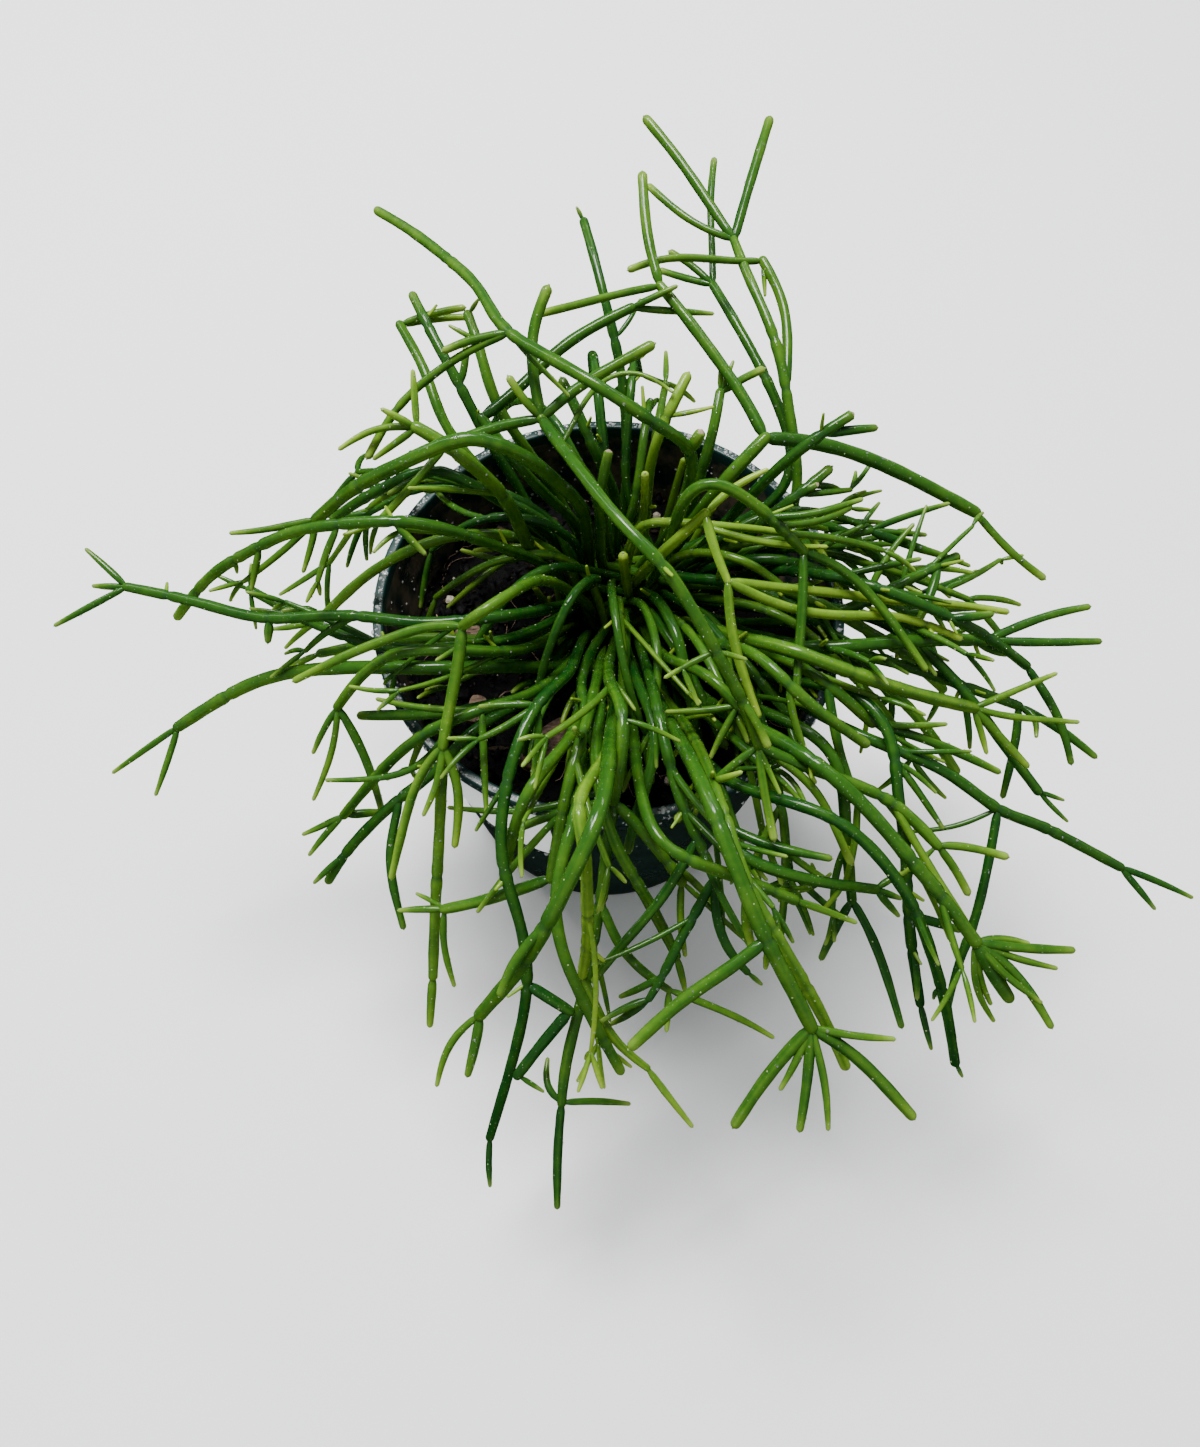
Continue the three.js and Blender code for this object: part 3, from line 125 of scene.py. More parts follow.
# Every spray: name, radius, tone, arch, points and side branches. An arch is the index of its
# highest point, that height and the height of its end. A point is where the stem passes in
# the view above, in pixels of its frame. A branch is the index of the point that it leaves
# from, -1 for the base of the spray, then its radius, its rise or its own arch, its points and
# its own branches.
SPRAYS = [
  ["left_long", MAIN, DARK, [1, 112, 100],
    [[540, 612], [492, 618], [450, 622], [410, 624], [370, 616], [320, 615], [268, 620], [190, 600],
      [127, 587]],
    [[8, TWIG, 3, [[107, 567], [87, 550]]],
      [8, TWIG, -2, [[94, 586]]],
      [8, TWIG, -3, [[100, 601], [56, 625]]],
      [6, SLIM, -3, [[268, 640]]]]],
  ["left_low", MAIN, DARK, [1, 104, 94],
    [[530, 640], [460, 650], [400, 652], [345, 638], [310, 622], [250, 590]],
    [[5, FINE, 3, [[247, 577], [251, 565]]],
      [5, FINE, -4, [[254, 610], [256, 628]]],
      [5, FINE, 2, [[230, 583], [214, 574]]],
      [4, TWIG, 2, [[330, 606], [300, 607], [284, 611]]]]],
  ["left_arch", MAIN, GREEN, [3, 128, 90],
    [[560, 575], [490, 544], [420, 522], [392, 520], [340, 524], [310, 527], [280, 535], [258, 547],
      [235, 559], [214, 572], [195, 592], [178, 616]],
    [[3, TWIG, -5, [[408, 538], [424, 553]]],
      [4, TWIG, -8, [[323, 555], [318, 580]],
        [[1, FINE, -3, [[307, 601]]], [1, FINE, -3, [[320, 594]]]]],
      [7, TWIG, -7, [[254, 572], [252, 588]]],
      [8, FINE, -3, [[237, 572]]]]],
  ["upper_left_thick", THICK, GREEN, [4, 138, 114],
    [[588, 512], [560, 484], [530, 458], [496, 442], [470, 431], [430, 448], [390, 465], [350, 486],
      [316, 517]],
    [[8, TWIG, -4, [[300, 519], [272, 529], [231, 532]]],
      [8, TWIG, -7, [[312, 545], [303, 569]]]]],
  ["upper_left_pair", MAIN, DARK, [3, 124, 104],
    [[560, 545], [515, 510], [474, 486], [434, 464], [400, 480], [370, 494], [334, 518]],
    [[3, TWIG, -2, [[410, 480], [390, 493]]],
      [-1, MAIN, [3, 128, 128], [[580, 528], [540, 490], [510, 455], [482, 418]],
        [[3, MAIN, 8, [[512, 397], [530, 377], [556, 351], [580, 333], [631, 308]],
          [[4, TWIG, 3, [[657, 296], [675, 288]]],
            [4, TWIG, -2, [[665, 309], [713, 312]]]]]]]]],
  ["upper_left_light", THICK, FRESH, [6, 138, 138],
    [[560, 584], [530, 548], [510, 504], [490, 480], [460, 455], [440, 440], [417, 428]],
    [[6, TWIG, 5, [[415, 400], [413, 372]]],
      [6, TWIG, 3, [[400, 415], [383, 410]]],
      [6, TWIG, -5, [[380, 425], [354, 434], [340, 449]]],
      [6, TWIG, -6, [[410, 436], [386, 452], [376, 462]]],
      [1, TWIG, -2, [[500, 547], [476, 551]]],
      [1, TWIG, -9, [[494, 568], [464, 594], [449, 607]]],
      [1, TWIG, -5, [[523, 568], [486, 556], [463, 551]]]]],
  ["far_left_long", MAIN, GREEN, [4, 149, 126],
    [[665, 545], [688, 490], [695, 450], [658, 426], [600, 386], [560, 364], [530, 346], [505, 333],
      [478, 286], [444, 256], [410, 230], [378, 211]],
    [[2, MAIN, 4, [[701, 433]]],
      [7, TWIG, -16, [[460, 354], [440, 370], [400, 400], [369, 455]]],
      [7, TWIG, -3, [[470, 336], [446, 350]]],
      [7, FINE, -6, [[530, 362], [556, 377], [568, 395]]]]],
  ["far_left_upright", MAIN, DARK, [7, 122, 122],
    [[570, 560], [540, 526], [512, 476], [488, 441], [478, 422], [460, 385], [440, 350], [413, 296]],
    [[5, TWIG, 4, [[470, 365], [466, 350]]]]],
  ["far_left_fork", MAIN, GREEN, [5, 130, 130],
    [[560, 500], [520, 440], [492, 400], [487, 380], [478, 340], [468, 315]],
    [[5, FINE, 3, [[478, 300]]],
      [4, FINE, 1, [[465, 335], [450, 326]]],
      [-1, MAIN, [4, 116, 116], [[530, 530], [480, 470], [440, 420], [430, 380], [400, 325]],
        [[4, TWIG, 3, [[425, 314], [462, 308]]],
          [4, TWIG, -1, [[430, 318], [466, 317]]]]]]],
  ["far_middle_whorl", MAIN, GREEN, [5, 134, 134],
    [[596, 556], [597, 520], [594, 488], [580, 468], [562, 446], [540, 418]],
    [[5, SLIM, 12, [[534, 390], [530, 350], [534, 310], [546, 291]]],
      [5, SLIM, 8, [[570, 390], [600, 372], [620, 362], [649, 346]]],
      [5, SLIM, -8, [[500, 424], [460, 440], [420, 454], [389, 469]]],
      [5, TWIG, 6, [[512, 398], [509, 379]]],
      [4, FINE, 2, [[590, 390], [620, 369], [650, 372], [672, 393]]],
      [5, MAIN, [3, 141, 111],
        [[560, 446], [582, 473], [600, 498], [620, 521], [640, 545], [667, 563], [684, 596], [702, 626],
          [716, 650], [736, 690], [748, 708], [758, 746]],
        [[8, FINE, -1, [[732, 655], [745, 659]]],
          [8, FINE, -3, [[700, 655], [680, 668], [666, 677]], [[1, FINE, -3, [[690, 685], [698, 704]]]]],
          [11, TWIG, -10, [[728, 768], [700, 792], [678, 818]]],
          [11, MAIN, -14, [[800, 757], [840, 772], [896, 796], [938, 841]],
            [[3, TWIG, -2, [[960, 840], [1004, 853]]],
              [3, TWIG, -7, [[955, 860], [967, 888]]],
              [3, FINE, -5, [[920, 860], [900, 872]]]]],
          [11, TWIG, -14, [[790, 765], [810, 783], [826, 799], [835, 830], [850, 860]]],
          [11, TWIG, -8, [[764, 790], [774, 836]]],
          [11, FINE, -3, [[768, 770], [780, 793]]]]]]],
  ["far_tall", SLIM, DARK, [6, 126, 126],
    [[625, 503], [626, 420], [622, 375], [615, 340], [605, 300], [595, 260], [584, 222]],
    [[6, FINE, 2, [[577, 208]]],
      [3, FINE, 3, [[632, 322], [640, 300]]]]],
  ["far_middle_short", MAIN, DARK, [3, 124, 124],
    [[616, 492], [600, 464], [580, 416], [563, 382]],
    [[-1, MAIN, [2, 118, 118], [[604, 530], [600, 485], [608, 453]], []]]],
  ["far_right_long", MAIN, GREEN, [9, 128, 128],
    [[700, 572], [760, 545], [795, 515], [800, 485], [792, 430], [786, 388], [776, 340], [760, 302],
      [745, 270], [734, 240]],
    [[9, SLIM, 8, [[710, 205], [680, 160], [647, 120]]],
      [9, SLIM, 8, [[745, 200], [757, 160], [769, 121]]],
      [9, TWIG, 2, [[710, 232], [680, 215], [650, 187]]],
      [5, SLIM, 8, [[788, 325], [780, 288], [763, 261]],
        [[2, TWIG, 4, [[730, 262], [700, 257], [655, 257], [631, 269]]],
          [2, FINE, -3, [[765, 295]]]]]]],
  ["far_right_second", MAIN, DARK, [7, 118, 118],
    [[680, 555], [735, 525], [780, 500], [795, 470], [780, 410], [766, 378], [740, 330], [713, 285]],
    [[7, TWIG, 8, [[712, 240], [710, 200], [714, 161]]],
      [7, TWIG, -2, [[690, 280], [662, 271]]],
      [7, TWIG, 2, [[690, 262], [672, 253]]]]],
  ["far_right_fork", THICK, GREEN, [3, 128, 128],
    [[680, 540], [715, 492], [740, 464], [765, 438]],
    [[3, MAIN, 8, [[744, 398], [715, 360], [680, 315], [658, 290]],
      [[3, SLIM, 8, [[645, 245], [643, 215], [641, 180]]],
        [3, TWIG, 1, [[620, 296], [590, 304], [540, 316]]]]],
      [3, THICK, -20, [[800, 440], [840, 448], [900, 472], [975, 512]],
        [[3, TWIG, -8, [[1000, 542], [1020, 562], [1042, 577]]]]]]],
  ["far_right_upright", MAIN, GREEN, [4, 128, 128],
    [[676, 550], [690, 510], [702, 470], [714, 430], [720, 393]],
    [[4, FINE, 3, [[718, 375], [721, 362]]],
      [4, FINE, 3, [[729, 378], [733, 362]]],
      [4, TWIG, 1, [[740, 378], [761, 370]]]]],
  ["far_light", SLIM, LIME, [4, 134, 134],
    [[644, 536], [648, 480], [652, 450], [666, 416], [686, 376]],
    [[3, FINE, 1, [[690, 412], [712, 406]]],
      [0, TWIG, [0, 128, 128], [[645, 475]]],
      [-1, SLIM, [1, 104, 104], [[630, 596], [626, 550]]]]],
  ["right_light", SLIM, LIME, [1, 122, 114],
    [[642, 523], [665, 522], [700, 528], [745, 528], [790, 537], [808, 537]],
    [[-1, MAIN, [1, 127, 127], [[670, 540], [704, 508]],
      [[1, TWIG, 5, [[722, 487], [745, 471], [764, 465]]],
        [1, SLIM, -5, [[712, 545], [726, 575]],
          [[1, SLIM, -15, [[726, 610], [732, 640], [740, 670], [754, 712]]],
            [1, SLIM, -18, [[756, 592], [780, 604], [832, 616], [900, 615], [940, 630], [958, 638]]],
            [1, SLIM, -22, [[796, 586], [840, 590], [880, 598], [940, 601], [1007, 611]]]]]]]]],
  ["right_arch", MAIN, GREEN, [2, 136, 122],
    [[670, 545], [690, 490], [705, 475], [740, 494], [770, 516], [804, 552]],
    [[5, SLIM, -15, [[830, 560], [860, 582], [880, 604], [900, 632], [925, 668]]],
      [5, SLIM, -14, [[802, 600], [799, 640], [796, 698]]],
      [4, TWIG, 2, [[800, 520], [830, 510], [861, 500]]]]],
  ["right_cut", MAIN, DARK, [5, 138, 138],
    [[690, 560], [728, 520], [756, 490], [784, 462], [820, 434], [851, 415]],
    [[4, SLIM, -2, [[850, 430], [874, 428]]],
      [-1, MAIN, [3, 118, 118], [[720, 560], [774, 512], [800, 494], [828, 470]],
        [[2, SLIM, 1, [[816, 485]]]]]]],
  ["right_back", MAIN, DARK, [5, 112, 112],
    [[690, 590], [730, 568], [760, 554], [810, 548], [840, 536], [869, 532]],
    [[5, TWIG, 2, [[900, 518], [948, 504]]],
      [5, TWIG, -2, [[900, 534], [925, 536]]],
      [5, SLIM, -4, [[900, 543], [920, 550], [940, 556]]],
      [2, TWIG, 3, [[790, 530], [820, 522], [882, 523]]]]],
  ["right_middle", THICK, DARK, [2, 108, 100],
    [[700, 640], [780, 645], [850, 645], [920, 638], [988, 639]],
    [[4, SLIM, 2, [[1020, 625], [1060, 610], [1089, 606]]],
      [4, SLIM, -2, [[1040, 642], [1100, 641]]],
      [-1, MAIN, [5, 110, 106],
        [[740, 628], [810, 620], [865, 605], [900, 585], [925, 570], [943, 564], [955, 557]],
        [[5, SLIM, -5, [[935, 585], [927, 600], [918, 620]]],
          [3, FINE, 5, [[912, 545], [925, 508]]],
          [2, TWIG, 6, [[880, 565], [897, 542], [912, 526]]]]]]],
  ["right_long", MAIN, DARK, [2, 114, 94],
    [[740, 572], [820, 572], [880, 588], [925, 605], [950, 618], [990, 637], [1025, 664]],
    [[6, SLIM, -12, [[1050, 700], [1062, 722], [1070, 760]]],
      [4, SLIM, 1, [[965, 622], [989, 614]]]]],
  ["right_whorl", THICK, FRESH, [1, 114, 96],
    [[740, 640], [790, 650], [820, 662], [860, 676], [900, 690], [973, 708]],
    [[5, TWIG, 2, [[990, 703], [1020, 688], [1055, 674]]],
      [5, TWIG, -3, [[985, 714], [1030, 719], [1077, 722]]],
      [5, TWIG, -5, [[985, 725], [981, 738], [986, 752]]],
      [5, SLIM, -8, [[990, 725], [1010, 750], [1026, 765]]]]],
  ["right_drooping", MAIN, DARK, [1, 102, 80],
    [[760, 610], [840, 610], [900, 630], [935, 660], [978, 708], [1000, 740], [1038, 791]],
    [[6, FINE, -1, [[1063, 800]]],
      [6, FINE, -5, [[1048, 808], [1067, 821]]],
      [-1, MAIN, [1, 98, 84], [[760, 640], [840, 652], [900, 665], [960, 685], [1018, 706]],
        [[4, TWIG, 1, [[1030, 703], [1042, 708], [1045, 722], [1036, 736]]],
          [4, SLIM, -7, [[1045, 720], [1065, 732], [1094, 756]]],
          [4, SLIM, -12, [[1017, 740], [1010, 765], [1003, 795]]]]]]],
  ["right_low_long", MAIN, DARK, [2, 102, 74],
    [[740, 670], [800, 700], [860, 735], [915, 755], [965, 782], [998, 813], [1030, 820], [1060, 835],
      [1120, 867]],
    [[5, FINE, -6, [[980, 817], [965, 828], [925, 830], [905, 832]]],
      [5, SLIM, -22, [[993, 840], [985, 880], [975, 925], [957, 965], [948, 1008]]],
      [8, TWIG, -4, [[1150, 877], [1191, 897]]],
      [8, TWIG, -5, [[1140, 890], [1154, 908]]]]],
  ["right_front_short", MAIN, GREEN, [1, 118, 106],
    [[700, 640], [764, 660], [788, 688], [820, 714], [864, 744]],
    [[2, TWIG, -9, [[782, 706], [792, 740], [800, 762]]]]],
  ["right_cluster", MAIN, GREEN, [1, 110, 102],
    [[760, 650], [830, 680], [876, 718]],
    [[2, SLIM, -8, [[930, 735], [960, 748], [1000, 768]]],
      [2, TWIG, 0, [[905, 722], [949, 719]]],
      [2, FINE, -4, [[925, 748], [947, 757]]],
      [1, SLIM, -13, [[838, 738], [848, 774], [858, 798]]],
      [-1, MAIN, [1, 96, 82], [[780, 640], [850, 660], [905, 700], [925, 725], [956, 770]], []]]],
  ["front_right_small", MAIN, GREEN, [2, 110, 107],
    [[665, 660], [700, 670], [720, 683], [738, 706]],
    [[3, TWIG, -3, [[700, 712], [668, 712]]],
      [3, TWIG, -5, [[720, 735], [710, 756]]],
      [3, TWIG, -1, [[755, 722], [764, 730]]]]],
  ["front_right_big", THICK, GREEN, [2, 109, 90],
    [[700, 700], [760, 735], [810, 765], [860, 805], [900, 850], [940, 895], [975, 942]],
    [[6, TWIG, -2, [[1010, 933], [1027, 943]]],
      [6, SLIM, -4, [[1010, 948], [1071, 950]]],
      [6, TWIG, -6, [[1010, 958], [1055, 968]]],
      [6, SLIM, -10, [[1010, 965], [1030, 990], [1050, 1025]]],
      [6, TWIG, -7, [[1000, 973], [1040, 1002]]],
      [6, THICK, -10, [[990, 970], [1008, 997]]],
      [6, TWIG, -12, [[977, 980], [990, 1003]]],
      [6, TWIG, -15, [[972, 985], [982, 1003], [993, 1020]]]]],
  ["front_right_reaching", MAIN, DARK, [3, 108, 60],
    [[690, 750], [740, 790], [786, 802], [820, 812], [856, 832], [890, 870], [916, 910], [935, 965],
      [945, 1000], [955, 1062]],
    [[9, FINE, -2, [[962, 1076]]],
      [6, FINE, -3, [[925, 940], [938, 964]]]]],
  ["front_right_hanging", MAIN, DARK, [2, 106, 56],
    [[770, 680], [830, 688], [875, 712], [896, 762], [894, 792], [903, 830], [908, 915], [912, 950],
      [920, 1003]],
    [[8, TWIG, -7, [[925, 1025], [931, 1048]]],
      [6, SLIM, -3, [[935, 922], [958, 930]]],
      [3, TWIG, -8, [[921, 800], [941, 830]]],
      [3, FINE, -3, [[916, 774], [934, 795]]],
      [-1, MAIN, [1, 106, 76], [[740, 700], [810, 730], [840, 760], [845, 820], [852, 900]],
        [[4, SLIM, -7, [[835, 925], [822, 957]]],
          [4, SLIM, -14, [[870, 930], [885, 970], [901, 1025]]]]]]],
  ["front_burst", THICK, GREEN, [2, 122, 98],
    [[660, 720], [690, 768], [706, 800], [718, 830], [735, 870], [765, 940], [785, 975], [811, 1027]],
    [[7, MAIN, -14, [[788, 1050], [765, 1078], [736, 1123]]],
      [7, TWIG, -8, [[798, 1062], [781, 1088]]],
      [7, SLIM, -12, [[808, 1080], [800, 1128]]],
      [7, TWIG, -10, [[822, 1068], [830, 1090], [828, 1128]]],
      [7, TWIG, -3, [[840, 1036], [893, 1039]]],
      [7, MAIN, -14, [[850, 1050], [880, 1080], [911, 1115]]],
      [5, MAIN, -12, [[735, 968], [700, 985], [665, 1015], [633, 1045]]]]],
  ["front_right_light", MAIN, FRESH, [3, 114, 82],
    [[680, 715], [705, 757], [720, 800], [733, 838], [748, 890], [780, 940], [805, 985], [820, 1010],
      [845, 1065]],
    [[4, SLIM, -9, [[740, 925], [752, 945]]]]],
  ["front_middle_dark", MAIN, DARK, [1, 110, 96],
    [[644, 666], [658, 710], [670, 756], [680, 796], [700, 840], [716, 878]],
    [[5, SLIM, -16, [[708, 896], [680, 940], [665, 975], [650, 998]],
      [[3, TWIG, -3, [[635, 996], [620, 1005], [603, 1020]]],
        [3, TWIG, -5, [[635, 1015], [610, 1027]]]]],
      [5, SLIM, -12, [[719, 942], [732, 958], [748, 972]],
        [[2, FINE, -2, [[762, 984]]]]],
      [4, SLIM, -16, [[656, 910], [620, 946], [595, 980]]]]],
  ["front_right_cut", MAIN, DARK, [2, 100, 88],
    [[690, 760], [715, 815], [740, 858], [770, 868], [810, 880], [875, 889]],
    [[1, SLIM, 2, [[742, 836], [790, 850], [829, 857]]],
      [5, TWIG, 1, [[900, 873]]],
      [5, TWIG, -2, [[900, 898]]],
      [5, TWIG, -4, [[898, 915]]]]],
  ["front_right_down", SLIM, GREEN, [1, 104, 68],
    [[710, 720], [760, 760], [784, 805], [786, 850], [784, 900], [780, 942]],
    [[2, TWIG, -7, [[764, 836], [752, 864]]],
      [1, FINE, -1, [[790, 765], [809, 812]]]]],
  ["front_middle_fork", MAIN, GREEN, [1, 118, 104],
    [[607, 680], [621, 712], [620, 745], [616, 775], [610, 801]],
    [[1, FINE, -3, [[650, 726], [676, 741]]],
      [4, SLIM, -7, [[570, 807], [530, 822], [498, 836]]],
      [4, MAIN, -46, [[603, 850], [600, 900], [590, 945], [584, 990], [575, 1020], [562, 1080], [561, 1103]],
        [[6, TWIG, -3, [[590, 1100], [628, 1104]]],
          [6, TWIG, 0, [[545, 1099], [536, 1093], [547, 1060]]],
          [6, SLIM, -16, [[557, 1150], [557, 1206]]],
          [1, SLIM, -10, [[620, 955], [645, 975], [668, 990]],
            [[2, TWIG, -8, [[690, 998], [720, 1010], [750, 1022], [772, 1037]]],
              [2, TWIG, -4, [[668, 1015], [666, 1030]]]]]]],
      [4, MAIN, -10, [[640, 830], [664, 860], [679, 881]],
        [[2, FINE, -8, [[716, 914], [752, 948]]],
          [2, TWIG, -10, [[676, 920], [683, 954]]]]]]],
  ["front_crown_dark", MAIN, DARK, [1, 100, 94],
    [[580, 680], [588, 720], [596, 760], [604, 792]],
    [[3, TWIG, -5, [[540, 810], [490, 810], [450, 806]]],
      [-1, MAIN, [1, 104, 94],
        [[640, 680], [660, 720], [660, 754], [648, 780], [638, 806], [628, 848]], []]]],
  ["front_crown_long", MAIN, GREEN, [2, 108, 78],
    [[598, 660], [602, 700], [602, 772], [616, 842], [640, 882], [660, 920], [677, 955]],
    [[6, TWIG, -6, [[684, 975], [686, 992]]],
      [-1, MAIN, [2, 106, 94], [[640, 770], [650, 820], [666, 852], [700, 864], [740, 878], [795, 900]],
        [[5, TWIG, -4, [[825, 910], [855, 922]]]]]]],
  ["front_left_fork", MAIN, GREEN, [1, 108, 92],
    [[592, 710], [586, 746], [574, 790], [566, 830], [556, 881]],
    [[4, MAIN, -10, [[510, 896], [480, 904], [447, 910]],
      [[2, TWIG, -1, [[420, 908], [402, 911]]],
        [2, TWIG, -12, [[442, 938], [455, 985]]]]]]],
  ["front_middle_light", MAIN, LIME, [1, 125, 82],
    [[600, 740], [574, 810], [584, 840], [587, 896], [588, 940], [583, 975]],
    [[5, SLIM, -12, [[610, 1035], [648, 1066]],
      [[1, TWIG, -7, [[665, 1090], [692, 1124]]]]]]],
  ["front_left_big", THICK, GREEN, [1, 124, 90],
    [[604, 740], [598, 812], [575, 866], [545, 925], [525, 962], [505, 985], [480, 1014]],
    [[6, TWIG, -10, [[455, 1028], [444, 1045], [437, 1084]]],
      [6, SLIM, -8, [[478, 1040], [468, 1073]]],
      [3, SLIM, -9, [[515, 955], [500, 992]]]]],
  ["front_low_big", MAIN, GREEN, [1, 106, 72],
    [[590, 700], [580, 790], [556, 870], [552, 915], [560, 950], [590, 1015], [620, 1070]],
    []],
  ["front_left_hanging", MAIN, DARK, [1, 110, 42],
    [[570, 680], [540, 702], [520, 740], [508, 780], [500, 830], [500, 865], [512, 895], [524, 935],
      [528, 985], [518, 1040], [498, 1110], [490, 1137]],
    [[11, TWIG, -7, [[487, 1165], [490, 1185]]],
      [1, TWIG, -2, [[510, 705], [482, 708]]],
      [1, TWIG, -8, [[543, 725], [536, 760], [534, 778]]],
      [8, MAIN, -3, [[557, 1003], [570, 1011]],
        [[1, MAIN, -12, [[535, 1052], [518, 1075]],
          [[1, FINE, -1, [[528, 1089], [543, 1091]]]]]]]]],
  ["left_whorl", MAIN, FRESH, [2, 126, 119],
    [[540, 578], [510, 593], [480, 612], [462, 626]],
    [[3, SLIM, -12, [[426, 624], [400, 635], [362, 648], [340, 658], [296, 680]]],
      [3, MAIN, -15, [[458, 670], [448, 710], [443, 746]],
        [[2, MAIN, -40, [[440, 820], [438, 860], [435, 910], [433, 976]],
          [[3, SLIM, -9, [[431, 1000], [430, 1024]]]]],
          [2, SLIM, -20, [[424, 764], [410, 800], [392, 876]]],
          [2, SLIM, -14, [[458, 776], [461, 800], [455, 844]]],
          [2, TWIG, -8, [[440, 785], [424, 814]]]]]]],
  ["left_down", THICK, GREEN, [2, 104, 76],
    [[570, 660], [510, 665], [444, 668], [400, 668], [340, 668], [300, 671], [255, 681], [205, 709],
      [178, 727]],
    [[8, TWIG, -6, [[160, 739], [114, 772]]],
      [8, TWIG, -7, [[171, 752], [156, 794]]]]],
  ["left_front_fork", MAIN, GREEN, [1, 112, 92],
    [[510, 650], [450, 648], [388, 652], [372, 664], [356, 680], [339, 705]],
    [[5, TWIG, -12, [[337, 740], [328, 770], [315, 797]]],
      [5, SLIM, -14, [[360, 740], [372, 770], [382, 808]]],
      [5, TWIG, -7, [[325, 715], [318, 730], [315, 750]]],
      [-1, MAIN, [1, 98, 88], [[540, 640], [480, 640], [430, 636], [360, 645], [321, 653]],
        [[4, TWIG, -2, [[292, 662], [280, 672]]]]]]],
  ["left_front_long", MAIN, GREEN, [1, 106, 74],
    [[530, 695], [482, 709], [460, 716], [432, 728], [406, 746], [380, 772], [356, 800], [344, 815]],
    [[7, TWIG, -4, [[330, 825], [304, 834]]],
      [7, TWIG, -6, [[318, 840], [310, 854]]],
      [7, SLIM, -1, [[378, 812]]],
      [1, TWIG, -10, [[482, 735], [486, 813]]],
      [-1, MAIN, [2, 110, 88], [[582, 730], [560, 754], [537, 779], [524, 800], [512, 840], [507, 866]],
        []]]],
  ["left_front_low", MAIN, DARK, [1, 98, 60],
    [[530, 705], [480, 724], [460, 746], [438, 772], [400, 798], [370, 826], [344, 854], [329, 880]],
    [[6, TWIG, -5, [[332, 862], [315, 882]]],
      [4, SLIM, -16, [[388, 860], [396, 900], [403, 926]]],
      [-1, MAIN, [2, 98, 90], [[540, 690], [500, 700], [460, 711], [410, 714], [362, 715]],
        [[2, TWIG, -10, [[420, 770], [360, 780], [328, 780]]]]]]],
]

# How the stems lean out of each other's way, as in the solids
EASE_ROUNDS = 320
EASE_APART = 1.15
EASE_REACH = 14
EASE_SIDEWAYS = 0.35
EASE_FORWARD = 0.2
EASE_STEP = 0.5
EASE_LONGEST = 1.5
EASE_STIFF = 0.3
SAMPLE = 3

# Lengths too small to count, in millimetres
SAME_PLACE = 1e-4
NO_REACH = 1e-9
NO_MOVE = 1e-12

# How the stems are drawn, in millimetres and shares of the radius
RING_STEP = 1.0
THICK_SIDES = 14
SLIM_SIDES = 12
FINE_SIDES = 9
FULLNESS = 1.08
BLUNT_FULLNESS = 1.14
NECK = 0.6
NECK_LENGTH = 2.4
WAIST = 0.16
WAIST_LENGTH = 0.6
SWELL = 0.07
SWELL_OFFSET = 1.7
SWELL_LENGTH = 0.9
LONG_WAVE = (0.025, 3.1)
SHORT_WAVE = (0.02, 1.3)
CAP_TURNS = [math.radians(turn) for turn in (25, 48, 68, 82)]
GROWING_BULGE = 1.05
CUT_BULGE = 0.35
FIRST_NORMAL = (0.3, 1.0, 0.2)
SETTLE_ROUNDS = 6
STEM, AREOLE, DRIED = 0, 1, 2

# How wide a run is: at these shares of its length, these shares of its radius
STEM_SHAPE = ((0, 0.5, 0.9, 1), (1, 1, 0.97, 0.88))
SLIM_SHAPE = ((0, 0.35, 0.7, 1), (0.92, 1.02, 0.96, 0.74))
TWIG_SHAPE = ((0, 0.35, 0.7, 1), (0.92, 1.04, 0.94, 0.62))
BLUNT_SHAPE = ((0, 0.5, 0.9, 1), (0.94, 1, 0.98, 0.97))

# Where the joints are, in millimetres along a run, and how their dark rings show
SEGMENT_LENGTHS = (26, 48)
FIRST_JOINT = 14
LAST_JOINT = 8
JOINT_GAP = 9
BRANCH_GAP = 1
RING_WIDTH = 0.45
BASE_RING = 0.8
BASE_RING_WIDTH = 1.1

# How old a run looks, from 0 where yellow-green and new to 1 where dark and old, and how much
# that changes with the spray's tone, by level and along it. At a stem's foot it is made paler,
# a painted light in the shaded crown, and under the rim darker, a painted shade with older growth
AGE = 0.76
AGE_BY_TONE = 0.4
AGE_BY_LEVEL = 0.05
AGED_LEVELS = 3
AGE_ALONG = 0.16
AGE_ALONG_STEM = 1.5
TWIG_YOUTH = 0.08
END_YOUTH = 0.12
END_LENGTH = 6
FOOT_PAINTED_LIGHT = 0.2
FOOT_LIGHT_LENGTH = 40
SHADE_AND_AGE_BELOW_RIM = 0.18
SHADE_STARTS_ABOVE_RIM = 5
SHADE_BELOW_RIM_DEPTH = 50
TIP_LENGTH = 2.2
THICK_TIP = 0.3

# Areoles: woolly dots in a spiral up the stems, in millimetres
AREOLE_SPACING = 6.5
AREOLE_UNEVEN = (0.7, 1.3)
AREOLE_FIRST = 2
AREOLE_LAST = 0.8
AREOLE_SIZES = (0.13, 0.21)
AREOLE_LIFT = 0.7
AREOLE_SEAT = 0.98
AREOLE_SIDES = 6
GOLDEN_ANGLE = math.radians(137.5)

# Small bumps: the lift and the width of their rings, and where their sides start
DOME_RINGS = ((-0.4, 0.9), (0.0, 1.0), (0.55, 0.82), (0.9, 0.42))
DOME_SIDE = (0.31, 0.17, 0.93)

# The pale point of a growing end, as shares of the end's radius
POINT_SEAT = 0.9
POINT_WIDTH = 0.3
POINT_HEIGHT = 0.45
POINT_SIDES = 7

